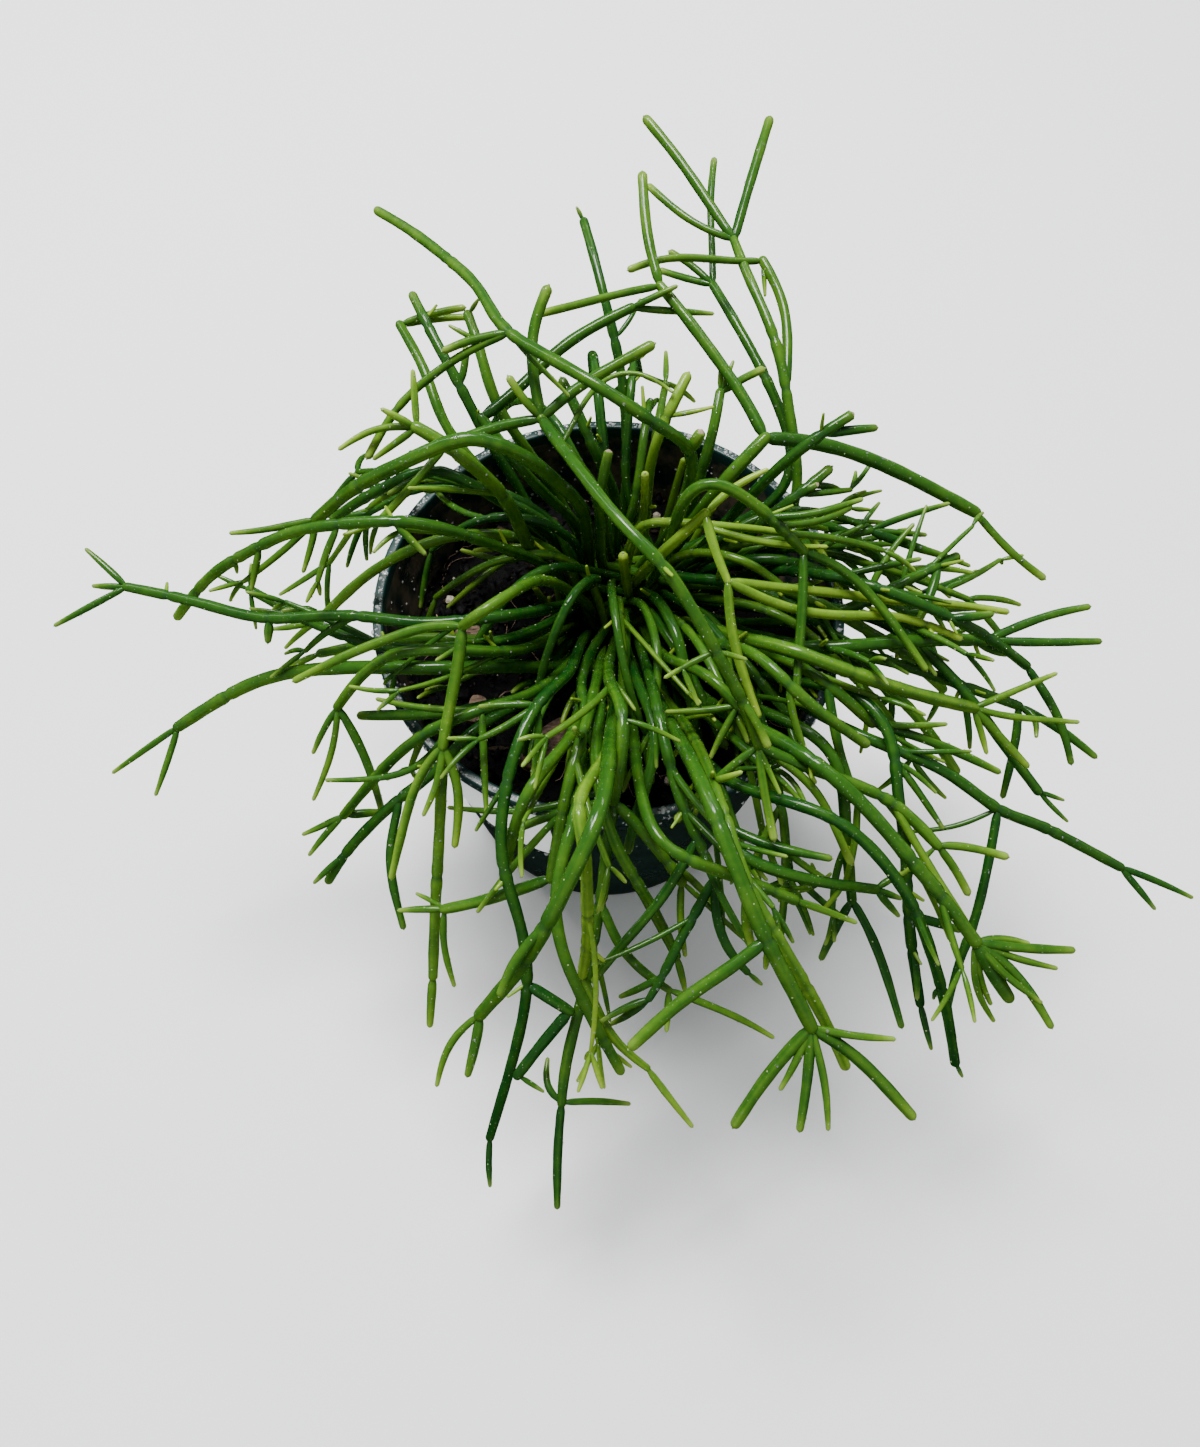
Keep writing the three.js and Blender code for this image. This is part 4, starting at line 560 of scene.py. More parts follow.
# Dried cut ends: how far their rings stand out, in millimetres, and how wide these are
DRIED_REACH = (-0.5, 0.0, 0.2, 0.4, 0.55)
DRIED_WIDTHS = (0.7, 0.9, 0.84, 0.66, 0.4)
DRIED_UNEVEN = (0.9, 1.05)
DRIED_SIDES = 9
DRIED_BULGE = 0.4
DRIED_LOBES = 0.09
LOBES = 5

# Ends that were cut and have dried, by where the view shows them, and the mark of other cut ends
CUT = ("cut",)
CUT_ENDS = {(608, 453), (701, 433), (851, 415), (816, 485), (955, 557), CUT}

# Buds around some of the joints, in millimetres
BUD_SHARE = 0.3
BUD_FROM = 30
BUD_LENGTHS = (2.2, 4.2)
BUD_WIDTHS = (0.38, 0.52)
BUD_SHAPE = ((0, 0.4, 1), (0.8, 1, 0.7))
BUD_OUT = 0.9
BUD_ALONG = 0.6
BUD_LIFT = 0.5
BUD_SEAT = 0.5
BUD_RINGS = 6
BUD_SIDES = 8
BUD_AGE = 0.22
BUD_AGE_BY_TONE = 0.2
BUD_AGE_ALONG = 0.1
BUD_STREAK = 0.5

# More stems between the others: how many lean to each range of directions around the crown, in
# degrees, how far they reach, and their other sizes in millimetres
MORE_STEMS = [
    (-72, 10, 16, (50, 78)),
    (-128, -72, 6, (46, 78)),
    (146, 212, 6, (40, 76)),
    (62, 124, 5, (40, 72)),
]
MORE_FOOT = 13
MORE_PEAK = (97, 112)
MORE_END = (62, 96)
MORE_BEND = 18
MORE_SHARES = (0, 0.2, 0.4, 0.55, 0.78, 1)
MORE_PEAK_POINT = 2
MORE_ROUNDS = 160
MORE_FORKS = (9, 20)
RIM_MARGIN = 8
RIM_CLEARANCE = 2.5

# The finer twigs that fill the crowded parts, in millimetres and degrees
TWIG_COUNT = 120
TWIG_TRIES = 9000
TWIG_LENGTHS = (8, 26)
TWIG_ANGLES = (22, 44)
TWIG_SAG = 0.22
TWIG_CURL = (0.03, 0.26)
TWIG_STEP = 2
TWIG_POINTS = 4
TWIG_START = 2.6
TWIG_GAP = 0.2
TWIG_FROM_CROWN = 42
TWIG_FORKS = (4, 11)
FORKED_LENGTH = 12
FORKED_SHARE = 0.6
FORK_ANGLES = (18, 42)
BEARER_POINTS = 8
FIRST_ON_STEM = 12
FIRST_ON_BRANCH = 3
CROWD_REACH = 11
CROWD_SPRAYS = 3
BOX_MARGIN = 1

# The shoots at the crown, in millimetres
SHOOT_COUNT = 11
SHOOTS = -1
SHOOT_TONE = 0.45
SHOOT_DEPTH = 3.0
SHOOT_SPREAD = (2, 17)
SHOOT_LEAN = (0.1, 0.5)
SHOOT_LENGTHS = (10, 30)
SHOOT_POINTS = 8
SHOOT_CUT_SHARE = 0.4

# Fixed seeds, so that every run draws the same plant
SEEDS = {
    "joints": 5,
    "more": 7,
    "twigs": 8,
    "shoots": 9,
    "sprays": 1000,
    "stem_water": 21,
    "pot_water": 22,
    "loose_crumbs": 31,
    "fibres": 32,
    "bark_fines": 33,
}

# The pot's small rounded edges in millimetres, and how finely the pot is drawn
FOOT_ROUND = 1.0
LIP_ROUND = 0.55
BAND_ROUND = 0.4
BASE_INSET = 8
POT_SEGMENTS = 144
WALL_RINGS = 12
DRAIN_SEGMENTS = 32
DRAIN_PAST = 2

# The mix: how finely it is drawn, and its relief in millimetres. A noise is its scale, octaves
# and seed.
SOIL_SEGMENTS = 200
SOIL_RINGS = 78
SOIL_WALL_RINGS = 8
SOIL_EDGE_DEPTH = 3
SOIL_SKIN = 1
SOIL_SINK = 0.6
CROWN_MOUND = 1.6
CROWN_RADIUS = 17
CLOD_HEIGHT = 1.3
CLOD_NOISE = (0.22, 2, 3)
CRUMB_HEIGHT = 0.9
CRUMB_NOISE = (0.7, 3, 9)

# Loose crumbs on the mix: how many, their sizes in millimetres and how finely they are drawn
CRUMBS = {
    "loose_crumbs": (2000, (0.4, 1.8), 1),
    "bark_fines": (300, (1.4, 4.2), 2),
}
CRUMB_REACH = 48
CRUMB_SKEW = 3
CRUMB_ROUGHNESS = 0.55
CRUMB_TILT = 0.6
CRUMB_LIFT = 0.2
ROUND_SHARE = 0.8
PERLITE_FROM = 0.99
PERLITE_LARGEST = 1.4

# Fibres that lie on the mix, in millimetres
FIBRE_COUNT = 46
FIBRE_START = 44
FIBRE_REACH = 47
FIBRE_STEP = 1.2
FIBRE_STEPS = (6, 14)
FIBRE_CURL = 0.25
FIBRE_WANDER = 0.2
FIBRE_WIDTHS = (0.1, 0.22)
FIBRE_SIDES = 6
SHORTEST_FIBRE = 4

# Bark chips: place on the mix, size and turn in degrees, as in the solids
CHIPS = {
    "bark_chip_large": ((-13, -27.5), (15, 8, 5), 38),
    "bark_chip_red": ((-33, 2), (6, 4.5, 3.5), 20),
    "bark_chip_back": ((30, 27), (8, 5, 3), -35),
    "bark_chip_side": ((-30, -18), (7, 4, 3), 80),
}
CHIP_FINENESS = 5
CHIP_SQUARENESS = 5
CHIP_TONE = 0.35
CHIP_TONE_STEP = 0.15

# Perlite grains: place on the mix and size, as in the solids
PERLITE = {
    "perlite_grain_left": ((-38, 12), 2.2),
    "perlite_grain_back": ((12, 38), 1.9),
    "perlite_grain_front": ((14, -35), 2),
}
PERLITE_FINENESS = 4
PERLITE_SQUARENESS = 2.6
PERLITE_PITS = 0.16
LUMP_CLEARANCE = 0.3

# The blank label on the wall: its two edges in degrees around the pot, its two heights and its
# other sizes in millimetres, and how finely it is drawn
LABEL_EDGES = (-152, -104.5)
LABEL_HEIGHTS = (46, 83.5)
LABEL_CORNER = 4
LABEL_THICKNESS = 0.14
LABEL_GAP = 0.02
LABEL_COLUMNS = 40
LABEL_ROWS = 12

# Water beads: how many, and their smallest and largest size in millimetres with the rate at
# which larger ones get rare
POT_BEADS = 1500
POT_BEAD_SIZES = (0.14, 0.65, 8)
POT_BEAD_HEIGHTS = (0.5, 0.75)
POT_BEAD_SIDES = 8
STEM_BEADS = 2400
STEM_BEAD_SIZES = (0.11, 0.4, 16)
STEM_BEAD_HEIGHT = 0.7
STEM_BEAD_SIDES = 7
STEM_BEAD_SEAT = 0.97
STEM_BEAD_SPREAD = 0.9
STEM_BEAD_ABOVE_SOIL = 6
WET_POINTS = 6
STEEPEST_WET = 0.2

# Which of the pot's beads lie on the rim's top, its band and the inner wall, by a random draw,
# and how far from edges they keep; the others lie on the outer wall
ON_RIM_TOP = 0.42
ON_BAND = 0.7
ON_INNER_WALL = 0.84
BEAD_MARGIN = 0.6
INNER_BEAD_DEPTHS = (4, 15)
OUTER_BEAD_DEPTHS = (3, 55)
OUTER_BEAD_SKEW = 1.5
WALL_LEAN = 0.16

# Greens of the stems, from the newest growth to the oldest, by how old the stem looks
STEM_GREENS = [
    (0.0, (0.26, 0.39, 0.03)),
    (0.2, (0.135, 0.25, 0.017)),
    (0.4, (0.062, 0.148, 0.01)),
    (0.6, (0.023, 0.087, 0.006)),
    (0.8, (0.007, 0.048, 0.005)),
    (1.0, (0.0018, 0.024, 0.003)),
]

# How clear the water is, on the pot and on the stems; the rest of each bead is white, a painted glint
POT_WATER = 0.65
STEM_WATER = 0.9

# The lights: place and size in metres, and power in watts. They aim at the top of the pot.
LIGHTS = {
    "softbox": ((-0.2, 0.35, 1.25), (0.5, 0.36), 34),
    "strip_left": ((-0.5, 0.35, 0.7), (0.05, 0.6), 2.4),
    "strip_back": ((0.3, 0.6, 0.75), (0.5, 0.05), 2.0),
}
LIGHT_AIM = (0, 0, 0.09)

# Half the width of the floor in metres, the sky's strength and colours, and how far below the
# horizon the pale sky reaches
FLOOR_HALF = 60.0
SKY_STRENGTH = 0.43
SKY_ABOVE = (0.95, 0.98, 1.0, 1)
SKY_BELOW = (0.03, 0.04, 0.03, 1)
SKY_DIP = 0.05
SKY_EDGE = 0.01
CAMERA_NEAR = 0.01


def view_axes():
    """The axes of the view: towards the viewer, right and up."""
    back = np.array([0, -math.cos(VIEW_ELEVATION), math.sin(VIEW_ELEVATION)])
    right = np.array([1.0, 0, 0])
    up = np.cross(back, right)
    cosine, sine = math.cos(VIEW_ROLL), math.sin(VIEW_ROLL)
    return back, cosine * right + sine * up, cosine * up - sine * right


BACK, RIGHT, UP = view_axes()


def seen(pixel, height):
    """The place at a given height that the view shows at a given point of its frame."""
    ray = -BACK + RIGHT * (pixel[0] - FRAME_WIDTH / 2) / VIEW_FOCAL
    ray = ray + UP * (FRAME_HEIGHT / 2 - pixel[1]) / VIEW_FOCAL
    return VIEW_PLACE + ray * (height - VIEW_PLACE[2]) / ray[2]


def shown_at(place):
    """Where the view shows a place."""
    offset = place - VIEW_PLACE
    depth = -offset @ BACK
    return [
        FRAME_WIDTH / 2 + VIEW_FOCAL * (offset @ RIGHT) / depth,
        FRAME_HEIGHT / 2 - VIEW_FOCAL * (offset @ UP) / depth,
    ]


def path_shares(start, path):
    """How far along each point of a path lies, from 0 at its start to 1 at its end."""
    lengths = [0]
    last = start
    for point in path:
        lengths.append(lengths[-1] + math.hypot(point[0] - last[0], point[1] - last[1]))
        last = point
    return [length / lengths[-1] for length in lengths]


def arch_heights(start_height, share, arch):
    """Heights of an arch: up to its highest point in a quarter wave, and down in another."""
    peak_index, peak, end = arch
    top = share[peak_index + 1]
    heights = []
    for s in share[1:]:
        if s <= top:
            heights.append(start_height + (peak - start_height) * math.sin(math.pi / 2 * (s / top)))
        else:
            heights.append(end + (peak - end) * math.cos(math.pi / 2 * ((s - top) / (1 - top))))
    return heights


def span_curve(before, start, end, after, weights):
    """Points of one span of a centripetal curve through its controls."""
    steps = [math.pow((b - a) @ (b - a), 0.25) for a, b in ((before, start), (start, end), (end, after))]
    if steps[1] < SAME_PLACE:
        steps[1] = 1.0
    if steps[0] < SAME_PLACE:
        steps[0] = steps[1]
    if steps[2] < SAME_PLACE:
        steps[2] = steps[1]
    first, middle, last = steps
    leave = (start - before) / first - (end - before) / (first + middle) + (end - start) / middle
    arrive = (end - start) / middle - (after - start) / (middle + last) + (after - end) / last
    leave = leave * middle
    arrive = arrive * middle
    square = -3 * start + 3 * end - 2 * leave - arrive
    cube = 2 * start - 2 * end + leave + arrive
    t = np.asarray(weights)[:, None]
    return start + leave * t + square * t**2 + cube * t**3


def smooth(controls, spacing):
    """Points along a smooth curve, about the spacing apart, and the index of each control."""
    count = len(controls)
    points = [controls[0]]
    marks = [0]
    for span in range(count - 1):
        start, end = controls[span], controls[span + 1]
        before = controls[span - 1] if span else 2 * controls[0] - controls[1]
        after = controls[span + 2] if span + 2 < count else 2 * controls[-1] - controls[-2]
        steps = max(1, math.floor(math.dist(start, end) / spacing + 0.5))
        weights = [step / steps for step in range(1, steps + 1)]
        points.extend(span_curve(before, start, end, after, weights))
        marks.append(len(points) - 1)
    return np.array(points), marks


def root_places():
    """Where the sprays are rooted: under the side that each one leans to, pushed apart."""
    crown = np.array(ROOT_CROWN, float)
    tops = [seen(path[arch[0]], arch[1])[:2] for _, _, _, arch, path, _ in SPRAYS]
    places = crown + (np.array(tops) - crown) * ROOT_LEAN
    for _ in range(ROOT_ROUNDS):
        gap = places[None] - places[:, None]
        distance = np.hypot(gap[..., 0], gap[..., 1])
        np.fill_diagonal(distance, ROOT_SPACING)
        push = np.where(distance < ROOT_SPACING, ROOT_PUSH * (ROOT_SPACING - distance) / distance, 0)
        places = places - (gap * push[..., None]).sum(1)
    return places


class Chain:
    """One unbranched run of a spray: a stem from its root, or a branch from its joint."""

    def __init__(self, spray, parent, mark, radius, points, marks=(), lead=1, end_pixel=()):
        self.spray = spray
        self.parent = parent
        self.mark = mark
        self.radius = radius
        self.points = points
        self.marks = marks
        self.lead = lead
        self.end_pixel = end_pixel
        self.level = parent.level + 1 if parent else 0
        self.joints = []
        self.bears = False


def grow_chain(chains, spray, parent, mark, start, radius, rise, path, root=None):
    """Adds a run through what its path shows, at heights that rise evenly or follow an arch."""
    share = path_shares(shown_at(start), path)
    if isinstance(rise, list):
        heights = arch_heights(start[2], share, rise)
    else:
        heights = [start[2] + rise * s for s in share[1:]]
    controls = [seen(pixel, height) for pixel, height in zip(path, heights)]
    if root is None:
        before = [start]
    else:
        lower = np.array([root[0], root[1], SOIL_TOP - ROOT_DEPTH])
        above = start + (controls[0] - start) * ROOT_UPKEEP
        above[2] = SOIL_TOP + ROOT_UPRIGHT
        before = [lower, start, above]
    points, marks = smooth(before + controls, SAMPLE)
    chain = Chain(spray, parent, mark, radius, points, marks, len(before), tuple(path[-1]))
    chains.append(chain)
    return chain


def grow_branches(chains, spray, parent, branches):
    """Adds the branches of a run, and theirs in turn."""
    for branch in branches:
        index, radius, rise, path = branch[:4]
        mark = parent.marks[index + parent.lead]
        chain = grow_chain(chains, spray, parent, mark, parent.points[mark], radius, rise, path)
        grow_branches(chains, spray, chain, branch[4] if len(branch) > 4 else [])


def grow_plant():
    """The runs of all the sprays, each grown from its root."""
    chains = []
    roots = root_places()
    for spray, (_, radius, _, arch, path, branches) in enumerate(SPRAYS):
        start = np.array([roots[spray][0], roots[spray][1], SOIL_TOP], float)
        stem = grow_chain(chains, spray, None, 0, start, radius, arch, path, roots[spray])
        grow_branches(chains, spray, stem, branches)
    return chains


def wall_radius(z):
    """The outer radius of the pot's wall at a height."""
    return BASE_RADIUS + (WALL_TOP_RADIUS - BASE_RADIUS) * z / SHOULDER


def pot_outer_radius(z):
    """The outer radius of the pot at each height, with its rim band."""
    return np.where(z > SHOULDER, RIM_RADIUS, wall_radius(z))


def pot_inner_radius(z):
    """The inner radius of the pot at each height."""
    share = (np.minimum(z, SHOULDER) - FLOOR) / (SHOULDER - FLOOR)
    return BASE_RADIUS + (WALL_TOP_RADIUS - BASE_RADIUS) * share - WALL


def clear_of_pot(places, radii, moves):
    """Adds to the moves what keeps the places clear of the pot's wall and the mix."""
    away = radii + EASE_APART
    reach = np.hypot(places[:, 0], places[:, 1])
    height = places[:, 2]
    outer = pot_outer_radius(height) + away
    inner = pot_inner_radius(height) - away
    top = POT_HEIGHT + away
    inside = reach < inner
    moves[:, 2] += np.where(inside, np.maximum(0, SOIL_TOP + away - height), 0)
    near = ~inside & (reach <= outer) & (height <= top)
    rise = top - height
    out = outer - reach
    back = np.where(height > SOIL_TOP, reach - inner, np.inf)
    goes_up = near & (rise <= out) & (rise <= back)
    goes_out = near & ~goes_up & (out <= back)
    goes_back = near & ~goes_up & ~goes_out
    moves[:, 2] += np.where(goes_up, rise, 0)
    outward = np.where(goes_out, out, 0) - np.where(goes_back, back, 0)
    moves[:, :2] += places[:, :2] * (outward / np.maximum(reach, NO_REACH))[:, None]


def near_pairs(places, sprays, fixed):
    """The pairs of points of two sprays that may come to touch, where either of them can move."""
    firsts, seconds = [], []
    for i in range(len(places) - 1):
        gap = places[i + 1 :] - places[i]
        near = (gap * gap).sum(1) < EASE_REACH**2
        near &= sprays[i + 1 :] != sprays[i]
        near &= ~(fixed[i + 1 :] & fixed[i])
        found = np.nonzero(near)[0] + i + 1
        firsts.append(np.full(len(found), i))
        seconds.append(found)
    return np.concatenate(firsts), np.concatenate(seconds)


def push_apart(places, sights, radii, pairs, moves):
    """Adds to the moves what takes pairs of points apart that are too close."""
    first, second = pairs
    gap = places[second] - places[first]
    need = radii[first] + radii[second] + EASE_APART
    distance = np.sqrt((gap * gap).sum(1))
    close = distance < need
    first, second, gap = first[close], second[close], gap[close]
    sight = sights[first]
    depth = (gap * sight).sum(1)
    side = gap - sight * depth[:, None]
    forward = np.where(depth >= 0, EASE_FORWARD, -EASE_FORWARD)
    push = side * EASE_SIDEWAYS + sight * (depth + forward)[:, None]
    size = (need[close] - distance[close]) * EASE_STEP / np.sqrt((push * push).sum(1))
    push *= size[:, None]
    np.add.at(moves, second, push)
    np.subtract.at(moves, first, push)


def level_indices(chains, firsts):
    """For each level: its starts, their places on the parents, and its other points' neighbours."""
    levels = []
    for level in range(max(chain.level for chain in chains) + 1):
        starts, holds, inner, nexts = [], [], [], []
        for chain, first in zip(chains, firsts):
            if chain.level != level:
                continue
            if chain.parent:
                starts.append(first)
                holds.append(firsts[chains.index(chain.parent)] + chain.mark)
            last = first + len(chain.points) - 1
            inner.extend(range(first + 1, last + 1))
            nexts.extend(min(i + 1, last) for i in range(first + 1, last + 1))
        levels.append([np.array(part, int) for part in (starts, holds, inner, nexts)])
    return levels


def ease_apart(chains, rounds, held=0):
    """Moves all but the held first sprays out of each other's way, mostly along the line of sight."""
    firsts = np.cumsum([0] + [len(chain.points) for chain in chains])[:-1]
    places = np.concatenate([chain.points for chain in chains])
    begun = places.copy()
    sights = places - VIEW_PLACE
    sights /= np.sqrt((sights * sights).sum(1))[:, None]
    radii = np.concatenate([np.full(len(chain.points), chain.radius) for chain in chains])
    sprays = np.concatenate([np.full(len(chain.points), chain.spray) for chain in chains])
    stems = np.concatenate([np.full(len(chain.points), chain.parent is None) for chain in chains])
    fixed = (stems & (places[:, 2] < SOIL_TOP + ROOT_UPRIGHT)) | (sprays < held)
    free = ~fixed
    pairs = near_pairs(places, sprays, fixed)
    levels = level_indices(chains, firsts)
    for _ in range(rounds):
        moves = np.zeros_like(places)
        push_apart(places, sights, radii, pairs, moves)
        clear_of_pot(places, radii, moves)
        length = np.maximum(np.sqrt((moves * moves).sum(1)), NO_MOVE)
        moves *= (np.minimum(length, EASE_LONGEST) / length)[:, None]
        places[free] += moves[free]
        for starts, holds, inner, nexts in levels:
            places[starts] = places[holds]
            shifts = places - begun
            mean = (shifts[inner - 1] + shifts[nexts]) / 2
            eased = begun[inner] + shifts[inner] * (1 - EASE_STIFF) + mean * EASE_STIFF
            places[inner] = np.where(fixed[inner][:, None], places[inner], eased)
    for chain, first in zip(chains, firsts):
        chain.points = places[first : first + len(chain.points)]


class MeshParts:
    """Vertices, faces, materials and point values of one mesh, gathered piece by piece."""

    def __init__(self, *names):
        self.places = []
        self.faces = []
        self.materials = []
        self.values = {name: [] for name in names}
        self.count = 0

    def add(self, places, faces, material=0, **values):
        """Adds one closed piece, with one value or a value a point for each name."""
        self.places.append(np.asarray(places, float))
        self.faces.extend(tuple(index + self.count for index in face) for face in faces)
        self.materials.extend([material] * len(faces))
        for name, kept in self.values.items():
            kept.append(np.broadcast_to(np.asarray(values.get(name, 0), float), len(places)))
        self.count += len(places)


def object_of(name, parts, materials, smooth_shaded=True):
    """A mesh object in metres from parts in millimetres."""
    mesh = bpy.data.meshes.new(name)
    places = np.concatenate(parts.places) * MM
    mesh.from_pydata(places.tolist(), [], parts.faces)
    mesh.polygons.foreach_set("material_index", parts.materials)
    mesh.polygons.foreach_set("use_smooth", [smooth_shaded] * len(parts.faces))
    for key, values in parts.values.items():
        attribute = mesh.attributes.new(key, "FLOAT", "POINT")
        attribute.data.foreach_set("value", np.concatenate(values).astype(np.float32))
    for material in materials:
        mesh.materials.append(material)
    mesh.update()
    piece = bpy.data.objects.new(name, mesh)
    bpy.context.scene.collection.objects.link(piece)
    return piece


def fitted(piece, slot, *nodes):
    """The piece moves with the pot and stands for the nodes, which it hides; the slot is not used."""
    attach(piece, "root")
    if nodes:
        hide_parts(*nodes)
    return piece


def frames_along(points):
    """For each point of a curve: its direction, and two normals that turn as little as they can."""
    tangents = np.gradient(points, axis=0)
    tangents /= np.linalg.norm(tangents, axis=1)[:, None]
    normals = np.empty_like(points)
    normal = np.array(FIRST_NORMAL)
    for i, tangent in enumerate(tangents):
        normal = normal - tangent * (normal @ tangent)
        normal = normal / np.linalg.norm(normal)
        normals[i] = normal
    return tangents, normals, np.cross(tangents, normals)


def tube_faces(rings, sides):
    """Quads between the rings, and one face at each end."""
    faces = []
    for low in range(0, (rings - 1) * sides, sides):
        for k in range(sides):
            after = (k + 1) % sides
            faces.append((low + k, low + after, low + sides + after, low + sides + k))
    last = (rings - 1) * sides
    faces.append(tuple(reversed(range(sides))))
    faces.append(tuple(range(last, last + sides)))
    return faces


def rounded_tube(points, radii, sides, bulge=0.95, lobes=0.0):
    """Places and faces of a tube whose far end is rounded, and the number of its rings."""
    tangents, normals, sideways = frames_along(points)
    end = len(points) - 1
    cap_points = [points[end] + tangents[end] * bulge * radii[end] * math.sin(turn) for turn in CAP_TURNS]
    cap_radii = [radii[end] * math.cos(turn) for turn in CAP_TURNS]
    points = np.vstack([points, cap_points])
    radii = np.concatenate([radii, cap_radii])
    held = list(range(end + 1)) + [end] * len(CAP_TURNS)
    angles = np.arange(sides) * 2 * math.pi / sides
    circle = normals[held][:, None] * np.cos(angles)[None, :, None]
    circle = circle + sideways[held][:, None] * np.sin(angles)[None, :, None]
    uneven = 1 + lobes * np.cos(LOBES * angles)
    places = points[:, None] + circle * radii[:, None, None] * uneven[None, :, None]
    return places.reshape(-1, 3), tube_faces(len(points), sides), len(points)


def sides_of(radius):
    """How many sides a run has, by its radius."""
    if radius >= MAIN:
        return THICK_SIDES
    return SLIM_SIDES if radius >= SLIM else FINE_SIDES


def bell(offset, width):
    """A smooth bump of height 1 around no offset."""
    return np.exp(-((offset / width) ** 2))


def smooth_step(x):
    """A smooth step from 0 to 1, as x goes from 0 to 1."""
    x = np.clip(x, 0, 1)
    return x * x * (3 - 2 * x)


def settle(chains):
    """Takes small kinks out of the eased stems, and keeps each branch on its joint."""
    for chain in chains:
        points = chain.points.copy()
        if chain.parent:
            points[0] = chain.parent.points[chain.mark]
        for _ in range(SETTLE_ROUNDS):
            middle = (points[:-2] + points[2:]) / 2
            points[1:-1] = points[1:-1] * 0.5 + middle * 0.5
        chain.points = points


class Crowd:
    """All the stems' points, to find room for more twigs among them."""

    def __init__(self, chains):
        self.places = np.concatenate([chain.points for chain in chains])
        self.radii = np.concatenate([np.full(len(chain.points), chain.radius) for chain in chains])
        self.sprays = np.concatenate([np.full(len(chain.points), chain.spray) for chain in chains])
        self.low, self.high = (np.array(corner) / MM for corner in cad_box)

    def add(self, chain):
        """Adds a new twig's points to the crowd."""
        count = len(chain.points)
        self.places = np.vstack([self.places, chain.points])
        self.radii = np.concatenate([self.radii, np.full(count, chain.radius)])
        self.sprays = np.concatenate([self.sprays, np.full(count, chain.spray)])

    def is_crowded(self, place):
        """Whether several sprays pass near a place."""
        near = ((self.places - place) ** 2).sum(1) < CROWD_REACH**2
        return len(set(self.sprays[near])) >= CROWD_SPRAYS

    def has_room(self, points, radius):
        """Whether a twig stays clear of the other stems, the pot, the mix and the part's box."""
        free = points[np.linalg.norm(points - points[0], axis=1) > TWIG_START]
        gap = np.linalg.norm(free[:, None] - self.places[None], axis=2)
        if (gap < self.radii[None] + radius + TWIG_GAP).any():
            return False
        if (free < self.low + BOX_MARGIN).any() or (free > self.high - BOX_MARGIN).any():
            return False
        moves = np.zeros_like(free)
        clear_of_pot(free, np.full(len(free), radius), moves)
        return not moves.any()


def turned_aside(along, angle, chance):
    """A direction at an angle to another, towards any side."""
    side = np.cross(along, [chance.gauss(0, 1), chance.gauss(0, 1), chance.gauss(0, 1)])
    side /= np.linalg.norm(side)
    return along * math.cos(angle) + side * math.sin(angle)


def arching_points(turn, reaches, chance):
    """The points of a stem that arches from the crown in a direction."""
    crown = np.array(ROOT_CROWN, float)
    reach, peak, low = (chance.uniform(*bounds) for bounds in (reaches, MORE_PEAK, MORE_END))
    bend = math.radians(chance.uniform(-MORE_BEND, MORE_BEND))
    out = np.array([math.cos(turn), math.sin(turn)])
    aside = chance.uniform(0, 2 * math.pi)
    away = MORE_FOOT * math.sqrt(chance.random())
    foot = crown + away * np.array([math.cos(aside), math.sin(aside)])
    start = SOIL_TOP + ROOT_UPRIGHT
    controls = [(*foot, SOIL_TOP - ROOT_DEPTH), (*foot, SOIL_TOP), (*(foot + out), start)]
    heights = arch_heights(start, MORE_SHARES, [MORE_PEAK_POINT, peak, low])
    for share, height in zip(MORE_SHARES[1:], heights):
        way = turn + bend * share
        controls.append((*(crown + reach * share * np.array([math.cos(way), math.sin(way)])), height))
    points, _ = smooth([np.array(control, float) for control in controls], SAMPLE)
    return points


def clears_rim(points):
    """Whether a stem passes well above the rim of the pot, where it reaches that far."""
    away = np.hypot(points[:, 0], points[:, 1])
    near = (away > RIM_RADIUS - RIM_MARGIN) & (away < RIM_RADIUS + RIM_MARGIN / 2)
    return (points[near, 2] > POT_HEIGHT + RIM_CLEARANCE).all()


def more_stems(first_spray, chance):
    """Arching stems from the crown, each a spray of its own."""
    grown = []
    for start, end, count, reaches in MORE_STEMS:
        for index in range(count):
            turn = math.radians(start + (end - start) * (index + chance.random()) / count)
            points = arching_points(turn, reaches, chance)
            while not clears_rim(points):
                points = arching_points(turn, reaches, chance)
            radius = chance.choice((MAIN, SLIM, SLIM))
            grown.append(Chain(first_spray + len(grown), None, 0, radius, points))
    return grown


def new_twig(crowd, parent, mark, radius, length, angles, chance):
    """A twig from a point of its parent, or none where it would touch something."""
    last = len(parent.points) - 1
    along = parent.points[min(mark + 1, last)] - parent.points[max(mark - 1, 0)]
    along /= np.linalg.norm(along)
    heading = turned_aside(along, math.radians(chance.uniform(*angles)), chance)
    sag = np.array([0, 0, -chance.uniform(0, TWIG_SAG) * length])
    curl = turned_aside(heading, math.pi / 2, chance) * chance.uniform(*TWIG_CURL) * length
    share = np.linspace(0, 1, max(TWIG_POINTS, round(length / TWIG_STEP)))[:, None]
    points = parent.points[mark] + heading * length * share + (sag + curl) * share**2
    if not crowd.has_room(points, radius):
        return None
    return Chain(parent.spray, parent, mark, radius, points)


def add_forks(chains, crowd, stem, radius, lengths, chance):
    """Two or three shorter twigs at the end of a stem."""
    for _ in range(chance.choice((2, 2, 3))):
        length = chance.uniform(*lengths)
        fork = new_twig(crowd, stem, len(stem.points) - 1, radius, length, FORK_ANGLES, chance)
        if fork:
            chains.append(fork)
            crowd.add(fork)


